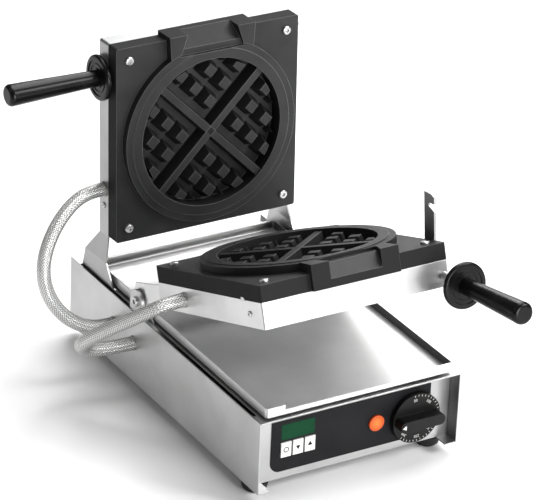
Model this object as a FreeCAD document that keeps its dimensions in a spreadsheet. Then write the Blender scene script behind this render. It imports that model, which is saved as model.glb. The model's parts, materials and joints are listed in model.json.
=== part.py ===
import FreeCAD, Part
import Sketcher
import math
import os
import re

# Counter-top waffle iron with two hinged cast plates on a sheet-steel base.
# Frame: X to the right, Y to the back, Z up, origin on the table under the middle of the base.

doc = FreeCAD.newDocument("waffle_iron")
sheet = doc.addObject("Spreadsheet::Sheet", "Sizes")

sizes = {
    # Base housing
    "base_width": 270.0,
    "base_length": 462.0,
    "wall_height": 92.6,
    "wall_sheet": 1.5,
    "wall_flange": 16.0,
    "sheet_play": 0.2,
    "panel_recess": 19.7,
    "rear_recess": 18.0,
    "foot_height": 14.0,
    "foot_radius": 17.5,
    "foot_taper": 3.0,
    "foot_side_inset": 17.5,
    "foot_end_inset": 37.0,
    "deck_slot_start": 20.0,
    "deck_wide_start": 360.0,
    "vent_count": 7.0,
    "vent_shift": 40.0,
    "vent_pitch": 14.0,
    "vent_width": 5.0,
    "vent_height": 34.0,
    # Drip tray and the pads under it
    "tray_side_gap": 1.4,
    "tray_length": 410.6,
    "tray_height": 12.0,
    "tray_sheet": 1.0,
    "tray_front_gap": 4.4,
    "tray_corner": 4.0,
    "tray_lip_drop": 6.0,
    "tray_lip_left": 100.0,
    "tray_lip_right": 62.0,
    "pad_height": 2.8,
    "pad_radius": 7.0,
    "pad_side_inset": 22.0,
    "pad_end_inset": 40.0,
    # Hinge
    "pivot_back": 298.0,
    "pivot_rise": 108.2,
    "pivot_radius": 4.0,
    "pivot_play": 0.05,
    "pivot_head_radius": 6.2,
    "pivot_head_height": 3.2,
    "socket_radius": 2.9,
    "socket_depth": 2.2,
    "post_sheet": 2.5,
    "post_radius": 15.0,
    "post_foot": 70.0,
    "side_play": 0.3,
    "lower_tilt": 19.55,
    "opening": 72.58,
    "iron_sheet": 2.0,
    # Baking plates
    "plate_width": 248.0,
    "plate_length": 250.0,
    "plate_thick": 20.0,
    "plate_corner": 3.0,
    "face_rise": 45.8,
    "rear_offset": 45.5,
    "ring_radius": 115.5,
    "ring_height": 11.0,
    "ring_step_radius": 107.0,
    "ring_step": 1.2,
    "closed_gap": 0.4,
    "cavity_radius": 94.5,
    "cavity_depth": 20.0,
    "grid_play": 0.05,
    "bar_base": 14.0,
    "bar_top": 9.5,
    "bar_drop": 3.0,
    "stud_pitch": 28.0,
    "stud_first": 26.8,
    "stud_base": 22.5,
    "stud_top": 13.0,
    "stud_drop": 4.5,
    "spout_width": 116.0,
    "spout_root": 110.0,
    "spout_start": 86.0,
    "spout_reach": 6.0,
    "spout_mouth": 64.0,
    "spout_throat": 86.0,
    "spout_shelf_start": 104.0,
    "spout_shelf_end": 112.0,
    "spout_shelf_drop": 5.0,
    "spout_lip_drop": 10.0,
    # Casings, screws and what the casings hold
    "lower_casing_height": 31.0,
    "upper_casing_height": 22.0,
    "screw_side": 107.0,
    "screw_end": 108.0,
    "screw_radius": 3.0,
    "screw_play": 0.2,
    "screw_head_radius": 5.5,
    "screw_head_height": 3.2,
    "heater_radius": 72.0,
    "heater_tube": 4.25,
    "heater_play": 0.3,
    "wool_play": 3.0,
    # Lower ear and upper arm, as forward and up distances from the pivot
    "ear_radius": 14.0,
    "ear_back": 4.0,
    "ear_top": 22.5,
    "ear_bend": 17.8,
    "heel_length": 34.0,
    "heel_play": 0.3,
    "arm_radius": 14.0,
    "arm_bend": 15.0,
    "arm_kink_low": 82.0,
    "arm_kink_high": 135.0,
    "arm_waist_low": 64.5,
    "arm_back_high": 143.0,
    "arm_back": 31.0,
    "arm_back_rise": 112.0,
    "arm_neck": 12.0,
    # Stop pins in the ears and the arms' teeth that meet them when the upper iron is open
    "stop_radius": 2.5,
    "stop_reach": 17.0,
    "stop_angle": 205.0,
    "stop_play": 0.3,
    "tooth_low": 12.0,
    "tooth_high": 22.0,
    "tooth_sweep": 25.5,
    # Handles
    "guard_radius": 28.0,
    "guard_thick": 7.0,
    "guard_round": 2.5,
    "grip_length": 118.0,
    "grip_root_radius": 10.0,
    "grip_tip_radius": 13.5,
    "grip_round": 5.0,
    "stud_rod_radius": 4.0,
    "stud_rod_play": 0.05,
    "stud_rod_bury": 80.0,
    "nut_radius": 5.5,
    "nut_height": 6.0,
    "upper_stem": 3.0,
    "lower_stem": 40.0,
    "lower_handle_drop": 10.0,
    "lower_handle_lift": 1.5,
    "upper_handle_place": 205.0,
    "upper_handle_depth": 31.0,
    "lower_handle_depth": 38.0,
    "lower_handle_side": 116.2,
    # Latch
    "latch_front": 46.0,
    "latch_depth": 36.0,
    "latch_sheet": 3.0,
    "latch_width": 21.0,
    "latch_lean": 12.6,
    "latch_rise": 93.0,
    "latch_throat_up": 79.0,
    "latch_throat_fwd": 2.0,
    "latch_swing": 8.0,
    "latch_pin_radius": 2.5,
    "latch_pin_head": 4.5,
    "latch_pin_bury": 14.0,
    "latch_throat_play": 0.5,
    "latch_gap": 2.0,
    "latch_bolt_radius": 3.0,
    "latch_bolt_head": 6.0,
    "latch_head_height": 3.0,
    "latch_stop_radius": 2.5,
    "latch_stop_up": 6.0,
    # Conduits
    "conduit_radius": 8.5,
    "gland_radius": 9.3,
    "gland_length": 2.0,
    "gland_thread": 6.0,
    "gland_tail": 5.5,
    "conduit_bend_share": 0.45,
    "gland_play": 0.1,
    "lower_gland_place": 61.6,
    "upper_gland_place": 59.6,
    "lower_gland_depth": 35.0,
    "upper_gland_depth": 31.0,
    "lower_exit_y": 70.0,
    "lower_exit_z": 65.0,
    "upper_exit_y": 121.0,
    "upper_exit_z": 66.5,
    "mains_gland_x": 70.0,
    "mains_gland_z": 52.0,
    "mains_gland_radius": 11.0,
    "mains_gland_length": 16.0,
    "mains_bore": 4.5,
    # Control panel
    "fascia_left": 108.0,
    "fascia_right": 106.5,
    "fascia_low": 25.2,
    "fascia_high": 91.2,
    "fascia_thick": 1.2,
    "fascia_round": 12.0,
    "display_x": 73.0,
    "display_z": 76.0,
    "display_width": 44.0,
    "display_height": 20.0,
    "display_rim": 3.0,
    "key_first_x": 88.8,
    "key_pitch": 15.9,
    "key_z": 53.5,
    "key_width": 13.6,
    "key_height": 19.0,
    "key_proud": 1.4,
    "key_play": 0.3,
    "key_flange": 1.0,
    "key_flange_thick": 1.0,
    "key_travel": 1.2,
    "board_gap": 7.0,
    "board_thick": 1.6,
    "board_margin": 6.0,
    "switch_size": 6.0,
    "lamp_x": 32.5,
    "lamp_z": 57.5,
    "lamp_radius": 10.0,
    "lamp_thick": 2.4,
    "lamp_body_radius": 7.0,
    "lamp_body_length": 18.0,
    "dial_x": 84.0,
    "dial_z": 54.0,
    "dial_radius": 32.0,
    "dial_thick": 7.0,
    "dial_gap": 0.6,
    "dial_grip_length": 60.0,
    "dial_grip_width": 14.0,
    "dial_grip_height": 15.0,
    "dial_grip_round": 6.0,
    "shaft_radius": 3.0,
    "shaft_play": 0.05,
    "shaft_hole_play": 0.6,
    "thermostat_radius": 21.0,
    "thermostat_depth": 24.0,
    "terminal_width": 60.0,
    "terminal_depth": 24.0,
    "terminal_height": 26.0,
}

for row, (alias, value) in enumerate(sizes.items(), start=1):
    sheet.set(f"A{row}", alias)
    sheet.set(f"B{row}", str(value))
    sheet.setAlias(f"B{row}", alias)
doc.recompute()

word = re.compile(r"[A-Za-z_]+")

# Places that several pieces share, worked out from the sizes above
wall_inside = "(base_width / 2 - wall_sheet)"
wall_top = "(foot_height + wall_height)"
floor_top = "(foot_height + 2 * wall_sheet)"
deck_under = "(foot_height + wall_height - wall_sheet)"
front_edge = "(-base_length / 2)"
panel_front = "(panel_recess - base_length / 2)"
panel_back = "(panel_recess - base_length / 2 + wall_sheet)"
rear_back = "(base_length / 2 - rear_recess)"
fascia_front = "(panel_recess - base_length / 2 - fascia_thick)"
post_inside = f"({wall_inside} - post_sheet)"
arm_outside = f"({post_inside} - side_play)"
arm_inside = f"({arm_outside} - iron_sheet)"
ear_outside = f"({arm_inside} - side_play)"
ear_inside = f"({ear_outside} - iron_sheet)"
tray_half = f"({ear_inside} - tray_side_gap)"
pivot_y = "(pivot_back - base_length / 2)"
pivot_z = "(foot_height + pivot_rise)"
pivot_hole = "(pivot_radius + pivot_play)"
half_width = "(plate_width / 2)"
casing_low = {iron: f"(-plate_thick - {iron}_casing_height)" for iron in ("lower", "upper")}
lower_pivot = ("(plate_length / 2 + rear_offset)", "(-face_rise)")
upper_rise = "(face_rise + 2 * ring_height + closed_gap)"
upper_pivot = ("(plate_length / 2 + rear_offset)", upper_rise)


def bound(text):
    """The text as an expression, with each size's name read from the sheet."""
    return word.sub(lambda m: f"Sizes.{m[0]}" if m[0] in sizes else m[0], str(text))


def value(text):
    """The number that an expression gives for the sizes in the sheet."""
    parsed = sheet.evalExpression(bound(text))
    return float(getattr(parsed, "Value", parsed))


def spot(x, y, z, turn=None):
    """A placement, as an expression; turn is an axis and an angle."""
    axis, angle = turn or ("0; 0; 1", "0")
    return f"placement(vector({x}; {y}; {z}); rotation(vector({axis}); {angle}))"


# Poses of the irons: from a plate's own frame (face up, front towards -Y) to the object's frame
plate_shift = "(-plate_length / 2 - rear_offset)"
lower_turn = ("-1; 0; 0", "lower_tilt")
lower_pose = spot("0", pivot_y, pivot_z, lower_turn) + " * " + spot("0", plate_shift, "face_rise")
upper_turn = ("-1; 0; 0", "lower_tilt + opening")
upper_flip = spot("0", plate_shift, upper_rise, ("0; 1; 0", "180"))
upper_pose = spot("0", pivot_y, pivot_z, upper_turn) + " * " + upper_flip

nodes = []


def tie(item, **bindings):
    for name, text in bindings.items():
        item.setExpression(name.replace("__", "."), bound(text))
    return item


def keep(item, name, pose=None):
    """Marks an object as a finished sub-part."""
    item.Label = name
    if pose:
        item.setExpression("Placement", bound(pose))
    nodes.append(item)
    return item


def box(name, low, high):
    item = doc.addObject("Part::Box", name)
    for size, a, b in zip(("Length", "Width", "Height"), low, high):
        item.setExpression(size, bound(f"({b}) - ({a})"))
    item.setExpression("Placement", bound(spot(*low)))
    return item


def rod(name, radius, length, start, turn=None):
    """A cylinder from its start point along +Z, or along +Z turned."""
    item = doc.addObject("Part::Cylinder", name)
    tie(item, Radius=radius, Height=length)
    item.setExpression("Placement", bound(spot(*start, turn)))
    return item


along_x = ("0; 1; 0", "90")
against_x = ("0; 1; 0", "-90")
along_y = ("1; 0; 0", "-90")
against_y = ("1; 0; 0", "90")


def fuse(name, items):
    item = doc.addObject("Part::MultiFuse", name)
    item.Shapes = items
    return item


def cut(name, base, tools):
    item = doc.addObject("Part::Cut", name)
    item.Base = base
    item.Tool = tools[0] if len(tools) == 1 else fuse(name + "_tools", tools)
    return item


def group(name, items):
    item = doc.addObject("Part::Compound", name)
    item.Links = items
    return item


def sketch(body, name, plane, offset, loops):
    """A sketch on one of the body's planes; a loop is points, or a circle's centre and radius."""
    item = body.newObject("Sketcher::SketchObject", name)
    support = next(o for o in body.Origin.OriginFeatures if o.Role == plane)
    item.AttachmentSupport = (support, [""])
    item.MapMode = "FlatFace"
    item.setExpression("AttachmentOffset.Base.z", bound(offset))
    for loop in loops:
        if isinstance(loop, dict):
            centre = FreeCAD.Vector(value(loop["x"]), value(loop["y"]), 0)
            edge = item.addGeometry(Part.Circle(centre, FreeCAD.Vector(0, 0, 1), value(loop["radius"])))
            hold(item, edge, 3, loop["x"], loop["y"])
            index = item.addConstraint(Sketcher.Constraint("Radius", edge, value(loop["radius"])))
            item.setExpression(f"Constraints[{index}]", bound(loop["radius"]))
            continue
        corners = [FreeCAD.Vector(value(x), value(y), 0) for x, y in loop]
        edges = []
        for start, end in zip(corners, corners[1:] + corners[:1]):
            edges.append(item.addGeometry(Part.LineSegment(start, end)))
        for edge, following in zip(edges, edges[1:] + edges[:1]):
            item.addConstraint(Sketcher.Constraint("Coincident", edge, 2, following, 1))
        for edge, (x, y) in zip(edges, loop):
            hold(item, edge, 1, x, y)
    return item


def hold(item, edge, end, x, y):
    for kind, text in (("DistanceX", x), ("DistanceY", y)):
        index = item.addConstraint(Sketcher.Constraint(kind, -1, 1, edge, end, value(text)))
        item.setExpression(f"Constraints[{index}]", bound(text))


def feature(body, kind, name, profile, length=None, **settings):
    item = body.newObject(f"PartDesign::{kind}", name)
    item.Profile = profile
    if length:
        item.setExpression("Length", bound(length))
    for setting, text in settings.items():
        setattr(item, setting, text)
    return item


# How close a measure must come to the wanted one for an edge to be picked
edge_tolerance = 0.1


def near(measure, wanted):
    return abs(measure - wanted) < edge_tolerance


def rounded(body, name, radius, choose):
    """Rounds the chosen edges of the body's last feature."""
    doc.recompute()
    base = body.Tip
    found = [f"Edge{i}" for i, e in enumerate(base.Shape.Edges, start=1) if choose(e)]
    item = body.newObject("PartDesign::Fillet", name)
    item.Base = (base, found)
    item.setExpression("Radius", bound(radius))
    return item


def upright(edge):
    return edge.Curve.TypeId == "Part::GeomLine" and near(abs(edge.tangentAt(edge.FirstParameter).z), 1)


def block(left, right, low, high):
    return [(left, low), (right, low), (right, high), (left, high)]


# Base housing

def side_wall(name, side, holes):
    body = doc.addObject("PartDesign::Body", name)
    outside, inside = f"{side} * base_width / 2", f"{side} * {wall_inside}"
    toe = f"{side} * (base_width / 2 - wall_flange)"
    outline = [(outside, "foot_height"), (outside, wall_top), (inside, wall_top),
               (inside, "foot_height + wall_sheet"), (toe, "foot_height + wall_sheet"), (toe, "foot_height")]
    feature(body, "Pad", name + "_sheet", sketch(body, name + "_bend", "XZ_Plane", "0", [outline]),
            "base_length", Midplane=True)
    if holes:
        drill = sketch(body, name + "_holes", "YZ_Plane", outside, holes)
        feature(body, "Pocket", name + "_drill", drill, "4 * wall_sheet", Midplane=True)
    return keep(body, name)


def conduit_hole(y, z):
    return {"x": y, "y": z, "radius": "gland_thread + gland_play"}


exits = [("lower_exit_y", "lower_exit_z"), ("upper_exit_y", "upper_exit_z")]
side_wall("side_wall_left", -1, [conduit_hole(y, z) for y, z in exits])
side_wall("side_wall_right", 1, [])

panel_half = f"({wall_inside} - sheet_play)"
floor = box("floor_plate", (f"-{panel_half}", panel_front, "foot_height + wall_sheet"),
            (panel_half, rear_back, floor_top))
keep(floor, "floor_plate")


def rear_panel():
    body = doc.addObject("PartDesign::Body", "rear_panel")
    rim = block(f"-{panel_half}", panel_half, floor_top, deck_under)
    gland = {"x": "mains_gland_x", "y": "mains_gland_z", "radius": "gland_thread + gland_play"}
    plan = sketch(body, "rear_outline", "XZ_Plane", f"wall_sheet - {rear_back}", [rim, gland])
    feature(body, "Pad", "rear_sheet", plan, "wall_sheet", Reversed=True)
    first = "(-(vent_count - 1) / 2 * vent_pitch - vent_shift)"
    slot = block(f"{first} - vent_width / 2", f"{first} + vent_width / 2",
                 "mains_gland_z - vent_height / 2", "mains_gland_z + vent_height / 2")
    cutter = sketch(body, "vent_outline", "XZ_Plane", f"-{rear_back}", [slot])
    vent = feature(body, "Pocket", "vent", cutter, "4 * wall_sheet", Midplane=True)
    row = body.newObject("PartDesign::LinearPattern", "vent_row")
    row.Originals = [vent]
    row.Direction = (next(o for o in body.Origin.OriginFeatures if o.Role == "X_Axis"), [""])
    row.Mode = "Spacing"
    row.setExpression("Offset", bound("vent_pitch"))
    row.setExpression("Occurrences", bound("vent_count"))
    body.Tip = row
    keep(body, "rear_panel")


rear_panel()

key_places = [f"(-key_first_x + {i} * key_pitch)" for i in range(3)]


def key_window(x, margin):
    half_x, half_z = f"(key_width / 2 + {margin})", f"(key_height / 2 + {margin})"
    return block(f"{x} - {half_x}", f"{x} + {half_x}", f"key_z - {half_z}", f"key_z + {half_z}")


def display_window_outline(margin):
    half_x, half_z = f"(display_width / 2 + {margin})", f"(display_height / 2 + {margin})"
    return block(f"-display_x - {half_x}", f"-display_x + {half_x}",
                 f"display_z - {half_z}", f"display_z + {half_z}")


lamp_hole = {"x": "lamp_x", "y": "lamp_z", "radius": "lamp_body_radius + gland_play"}
dial_hole = {"x": "dial_x", "y": "dial_z", "radius": "shaft_radius + shaft_hole_play"}


def front_panel():
    body = doc.addObject("PartDesign::Body", "front_panel")
    rim = block(f"-{panel_half}", panel_half, floor_top, deck_under)
    loops = [rim, display_window_outline("-display_rim"), lamp_hole, dial_hole]
    loops += [key_window(x, "key_play") for x in key_places]
    plan = sketch(body, "panel_outline", "XZ_Plane", f"-{panel_front}", loops)
    feature(body, "Pad", "panel_sheet", plan, "wall_sheet", Reversed=True)
    keep(body, "front_panel")


def fascia():
    body = doc.addObject("PartDesign::Body", "control_fascia")
    rim = block("-fascia_left", "fascia_right", "fascia_low", "fascia_high")
    plan = sketch(body, "fascia_outline", "XZ_Plane", f"-{panel_front}", [rim])
    feature(body, "Pad", "fascia_sheet", plan, "fascia_thick")
    left = value("-fascia_left")
    middle = value("(fascia_low + fascia_high) / 2")

    def lower_left(edge):
        box = edge.BoundBox
        return near(box.XMax, left) and box.ZMax < middle and near(box.ZLength, 0)

    rounded(body, "fascia_corner", "fascia_round", lower_left)
    loops = [display_window_outline("sheet_play"), lamp_hole, dial_hole]
    loops += [key_window(x, "key_play") for x in key_places]
    windows = sketch(body, "fascia_windows", "XZ_Plane", f"-{panel_front}", loops)
    feature(body, "Pocket", "fascia_cut", windows, "4 * fascia_thick", Midplane=True)
    keep(body, "control_fascia")


front_panel()
fascia()


def top_deck():
    body = doc.addObject("PartDesign::Body", "top_deck")
    slot = "(deck_slot_start - base_length / 2)"
    wide = "(deck_wide_start - base_length / 2)"
    room = tray_half
    half = [(panel_half, front_edge), (panel_half, slot), (ear_outside, slot), (ear_outside, wide),
            (room, wide), (room, rear_back)]
    outline = half + [(f"-{x}", y) for x, y in reversed(half)]
    plan = sketch(body, "deck_outline", "XY_Plane", deck_under, [outline])
    feature(body, "Pad", "deck_sheet", plan, "wall_sheet")
    keep(body, "top_deck")


top_deck()

display = box("display_window",
              ("-display_x - display_width / 2", fascia_front, "display_z - display_height / 2"),
              ("-display_x + display_width / 2", panel_front, "display_z + display_height / 2"))
keep(display, "display_window")

lamp_seat = ("lamp_x", fascia_front, "lamp_z")
lens = rod("lamp_lens", "lamp_radius", "lamp_thick", lamp_seat, against_y)
lamp_body = rod("lamp_body", "lamp_body_radius", "lamp_body_length", lamp_seat, along_y)
keep(fuse("pilot_lamp", [lens, lamp_body]), "pilot_lamp")


def revolved(name, pose, profile):
    """A body turned about Z from a profile of radius and height."""
    body = doc.addObject("PartDesign::Body", name)
    plan = sketch(body, name + "_profile", "XZ_Plane", "0", [profile])
    turn = body.newObject("PartDesign::Revolution", name + "_turn")
    turn.Profile = plan
    turn.ReferenceAxis = (next(o for o in body.Origin.OriginFeatures if o.Role == "Z_Axis"), [""])
    turn.Angle = 360
    body.Tip = turn
    body.setExpression("Placement", bound(pose))
    return body


foot_places = [(f"{i} * (base_width / 2 - foot_side_inset)", f"{j} * (base_length / 2 - foot_end_inset)")
               for i in (-1, 1) for j in (-1, 1)]
foot_form = [("0", "0"), ("foot_radius - 2 * foot_taper", "0"), ("foot_radius - foot_taper", "foot_taper"),
             ("foot_radius", "foot_height"), ("0", "foot_height")]
feet = [revolved(f"foot_{i}", spot(x, y, "0"), foot_form) for i, (x, y) in enumerate(foot_places)]
keep(group("feet", feet), "feet")

# Drip tray and its pads

tray_low = f"({wall_top} + pad_height)"
tray_front = "(tray_front_gap - base_length / 2)"
tray_back = "(tray_front_gap - base_length / 2 + tray_length)"


def drip_tray():
    body = doc.addObject("PartDesign::Body", "drip_tray")
    rim = block(f"-{tray_half}", tray_half, tray_front, tray_back)
    feature(body, "Pad", "tray_block", sketch(body, "tray_rim", "XY_Plane", tray_low, [rim]), "tray_height")
    rounded(body, "tray_corners", "tray_corner", upright)
    inner = block(f"tray_sheet - {tray_half}", f"{tray_half} - tray_sheet",
                  f"{tray_front} + tray_sheet", f"{tray_back} - tray_sheet")
    hollow = sketch(body, "tray_inner", "XY_Plane", f"{tray_low} + tray_height", [inner])
    feature(body, "Pocket", "tray_hollow", hollow, "tray_height - tray_sheet")
    lip = block("-tray_lip_left", "tray_lip_right",
                f"{tray_low} + tray_height - tray_lip_drop", f"{tray_low} + 2 * tray_height")
    dip = sketch(body, "tray_lip", "XZ_Plane", f"-{tray_front}", [lip])
    feature(body, "Pocket", "tray_dip", dip, "6 * tray_sheet", Midplane=True)
    keep(body, "drip_tray")


drip_tray()
pad_places = [(f"{i} * ({tray_half} - pad_side_inset)", y)
              for i in (-1, 1) for y in (f"{tray_front} + pad_end_inset", f"{tray_back} - pad_end_inset")]
pads = [rod(f"pad_{i}", "pad_radius", "pad_height", (x, y, wall_top)) for i, (x, y) in enumerate(pad_places)]
keep(group("tray_pads", pads), "tray_pads")

# Hinge posts and pivot bolts

def hinge_post(name, side):
    start = post_inside if side > 0 else f"-{wall_inside}"
    web = box(name + "_web", (start, f"{pivot_y} - post_radius", "foot_height + post_foot"),
              (f"{start} + post_sheet", f"{pivot_y} + post_radius", pivot_z))
    crown = rod(name + "_crown", "post_radius", "post_sheet", (start, pivot_y, pivot_z), along_x)
    bore = rod(name + "_bore", pivot_hole, "3 * post_sheet",
               (f"{start} - post_sheet", pivot_y, pivot_z), along_x)
    keep(cut(name, fuse(name + "_plate", [web, crown]), [bore]), name)


hinge_post("hinge_post_left", -1)
hinge_post("hinge_post_right", 1)


def pivot_bolt(side):
    turn = along_x if side > 0 else against_x
    shank_length = f"{wall_inside} - {ear_inside}"
    shank_start = (f"{side} * {ear_inside}", pivot_y, pivot_z)
    shank = rod(f"shank_{side}", "pivot_radius", shank_length, shank_start, turn)
    seat = (f"{side} * {wall_inside}", pivot_y, pivot_z)
    head = rod(f"head_{side}", "pivot_head_radius", "pivot_head_height", seat, turn)
    recess_start = (f"{side} * ({wall_inside} + pivot_head_height - socket_depth)", pivot_y, pivot_z)
    recess = rod(f"socket_{side}", "socket_radius", "socket_depth", recess_start, turn)
    return cut(f"pivot_bolt_{side}", fuse(f"pivot_blank_{side}", [shank, head]), [recess])


keep(group("pivot_bolts", [pivot_bolt(-1), pivot_bolt(1)]), "pivot_bolts")

# Baking plates: both are one form, laid face up in its own frame and turned over for the upper iron

ring_top = "ring_height"
cavity_floor = "(ring_height - cavity_depth)"
spout_lip = "(-plate_length / 2 - spout_reach)"


def plate_casting():
    body = doc.addObject("PartDesign::Body", "plate_casting")
    rim = block(f"-{half_width}", half_width, "-plate_length / 2", "plate_length / 2")
    slab = sketch(body, "slab_outline", "XY_Plane", "-plate_thick", [rim])
    feature(body, "Pad", "slab", slab, "plate_thick")
    rounded(body, "slab_corners", "plate_corner", upright)
    circle = {"x": "0", "y": "0", "radius": "ring_radius"}
    feature(body, "Pad", "ring", sketch(body, "ring_outline", "XY_Plane", "0", [circle]), "ring_height")
    funnel = [("-spout_root / 2", "-spout_start"), ("spout_root / 2", "-spout_start"),
              ("spout_width / 2", spout_lip), ("-spout_width / 2", spout_lip)]
    boss = sketch(body, "spout_outline", "XY_Plane", "-plate_thick", [funnel])
    feature(body, "Pad", "spout", boss, "plate_thick + ring_height")
    inner = {"x": "0", "y": "0", "radius": "ring_step_radius"}
    step = sketch(body, "rebate_outline", "XY_Plane", ring_top, [circle, inner])
    feature(body, "Pocket", "ring_rebate", step, "ring_step")
    bowl = {"x": "0", "y": "0", "radius": "cavity_radius"}
    hollow = sketch(body, "cavity_outline", "XY_Plane", ring_top, [bowl])
    feature(body, "Pocket", "cavity", hollow, "cavity_depth")
    holes = [{"x": f"{i} * screw_side", "y": f"{j} * screw_end", "radius": "screw_radius + screw_play"}
             for i in (-1, 1) for j in (-1, 1)]
    drill = sketch(body, "hole_plan", "XY_Plane", "0", holes)
    feature(body, "Pocket", "screw_holes", drill, "2 * plate_thick")
    return body


def spout_channel():
    """The pouring channel: a shelf inside the ring, then a slope down to the lip."""
    past = f"({spout_lip} - spout_reach)"
    above = f"({ring_top} + spout_shelf_drop)"
    shelf = f"({ring_top} - spout_shelf_drop)"
    side = doc.addObject("PartDesign::Body", "channel_side")
    fall = [("-spout_shelf_start", above), ("-spout_shelf_start", shelf), ("-spout_shelf_end", shelf),
            (spout_lip, "-spout_lip_drop"), (past, "-spout_lip_drop"), (past, above)]
    profile = sketch(side, "channel_profile", "YZ_Plane", "0", [fall])
    feature(side, "Pad", "channel_length", profile, "spout_width", Midplane=True)
    top = doc.addObject("PartDesign::Body", "channel_top")
    mouth = [("-spout_throat / 2", "-spout_shelf_start"), ("spout_throat / 2", "-spout_shelf_start"),
             ("spout_mouth / 2", past), ("-spout_mouth / 2", past)]
    plan = sketch(top, "channel_plan", "XY_Plane", "-plate_thick", [mouth])
    feature(top, "Pad", "channel_depth", plan, "3 * plate_thick")
    return common("spout_channel", [side, top])


def common(name, items):
    item = doc.addObject("Part::MultiCommon", name)
    item.Shapes = items
    return item


def frustum(name, base, top, height, x, y):
    """A tapered block on the cavity floor; base and top give its edges left, right, front and back."""
    item = doc.addObject("Part::Wedge", name)
    tie(item, Xmin=base[0], Xmax=base[1], Zmin=base[2], Zmax=base[3], Ymin="0", Ymax=height,
        X2min=top[0], X2max=top[1], Z2min=top[2], Z2max=top[3])
    diagonal = spot("0", "0", cavity_floor, ("0; 0; 1", "45"))
    item.setExpression("Placement", bound(f"{diagonal} * {spot(x, y, '0', ('1; 0; 0', '90'))}"))
    return item


def waffle_grid():
    """The diagonal cross bars and the studs, each cut round to the cavity."""
    bowl = rod("bowl", "cavity_radius - grid_play", "cavity_depth", ("0", "0", cavity_floor))
    end, low, high = "(cavity_radius + bar_base)", "(bar_base / 2)", "(bar_top / 2)"
    rise = "cavity_depth - bar_drop"
    near_low, near_high = f"({low} + grid_play)", f"({high} + grid_play)"
    across_low, across_high = (f"-{low}", low), (f"-{high}", high)
    full_low, full_high = (f"-{end}", end, *across_low), (f"-{end}", end, *across_high)
    right_low, right_high = (*across_low, near_low, end), (*across_high, near_high, end)
    left_low, left_high = (*across_low, f"-{end}", f"-{near_low}"), (*across_high, f"-{end}", f"-{near_high}")
    blanks = [frustum("bar_long", full_low, full_high, rise, "0", "0"),
              frustum("bar_right", right_low, right_high, rise, "0", "0"),
              frustum("bar_left", left_low, left_high, rise, "0", "0")]
    foot = ("-stud_base / 2", "stud_base / 2") * 2
    crown = ("-stud_top / 2", "stud_top / 2") * 2
    for i, j in stud_places:
        for a in (-1, 1):
            for b in (-1, 1):
                x, y = f"{a} * (stud_first + {i} * stud_pitch)", f"{b} * (stud_first + {j} * stud_pitch)"
                blanks.append(frustum(f"stud_{len(blanks)}", foot, crown, "cavity_depth - stud_drop", x, y))
    return [common(blank.Name + "_cut", [blank, bowl]) for blank in blanks]


stud_places = [(i, j) for i in range(3) for j in range(3) if i + j < 4]
casting = cut("casting_with_spout", plate_casting(), [spout_channel()])
grid = waffle_grid()
keep(group("lower_waffle_grid", grid), "lower_waffle_grid", lower_pose)
keep(group("upper_waffle_grid", grid), "upper_waffle_grid", upper_pose)


def latch_pin_hole():
    """The hole in the upper plate's side for the latch pin, in the plate's own frame."""
    x, y, z = latch_pin_place
    return rod("latch_pin_hole", "latch_pin_radius + screw_play", "latch_pin_bury", (x, y, z), along_x)


# The latch turns about its bolt on the lower casing; latched, it holds the pin of the upper plate
latch_y = "(latch_front - plate_length / 2)"
latch_z = "(-latch_depth)"
throat_far = "sqrt(pow(latch_throat_up; 2) + pow(latch_throat_fwd; 2))"
throat_angle = "((latch_lean + latch_swing) * 1 deg + atan(latch_throat_fwd / latch_throat_up))"
pin_y = f"({latch_y} - {throat_far} * sin({throat_angle}))"
pin_z = f"({latch_z} + {throat_far} * cos({throat_angle}))"
gap_between = "(2 * ring_height + closed_gap)"
latch_pin_place = (f"-{half_width}", pin_y, f"{gap_between} - {pin_z}")
# The latch's rest: a pin just behind the hook's back edge
latch_stop_back = "(latch_width / 2 + latch_stop_radius + side_play)"
latch_stop_y = f"({latch_y} + {latch_stop_back} * cos(latch_lean) - latch_stop_up * sin(latch_lean))"
latch_stop_z = f"({latch_z} + {latch_stop_back} * sin(latch_lean) + latch_stop_up * cos(latch_lean))"

keep(group("lower_baking_plate", [casting]), "lower_baking_plate", lower_pose)
keep(cut("upper_baking_plate", casting, [latch_pin_hole()]), "upper_baking_plate", upper_pose)

# Casings with their hinge ears and arms


def casing_shell(body, iron, holes):
    """A folded tray, open towards the plate, with holes in its cover for the plate screws."""
    rim = block(f"-{half_width}", half_width, "-plate_length / 2", "plate_length / 2")
    blank = sketch(body, iron + "_rim", "XY_Plane", casing_low[iron], [rim])
    feature(body, "Pad", iron + "_block", blank, f"{iron}_casing_height")
    rounded(body, iron + "_corners", "plate_corner", upright)
    inner = block(f"iron_sheet - {half_width}", f"{half_width} - iron_sheet",
                  "iron_sheet - plate_length / 2", "plate_length / 2 - iron_sheet")
    hollow = sketch(body, iron + "_inner", "XY_Plane", "-plate_thick", [inner])
    feature(body, "Pocket", iron + "_hollow", hollow, f"{iron}_casing_height - iron_sheet")
    screws = [{"x": f"{i} * screw_side", "y": f"{j} * screw_end", "radius": "screw_radius + screw_play"}
              for i in (-1, 1) for j in (-1, 1)]
    drill = sketch(body, iron + "_screw_plan", "XY_Plane", casing_low[iron], screws)
    feature(body, "Pocket", iron + "_screw_holes", drill, "4 * iron_sheet", Midplane=True)
    for index, (plane, offset, hole) in enumerate(holes):
        bore = sketch(body, f"{iron}_hole_{index}", plane, offset, [hole])
        feature(body, "Pocket", f"{iron}_bore_{index}", bore, "8 * iron_sheet", Midplane=True)


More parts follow.
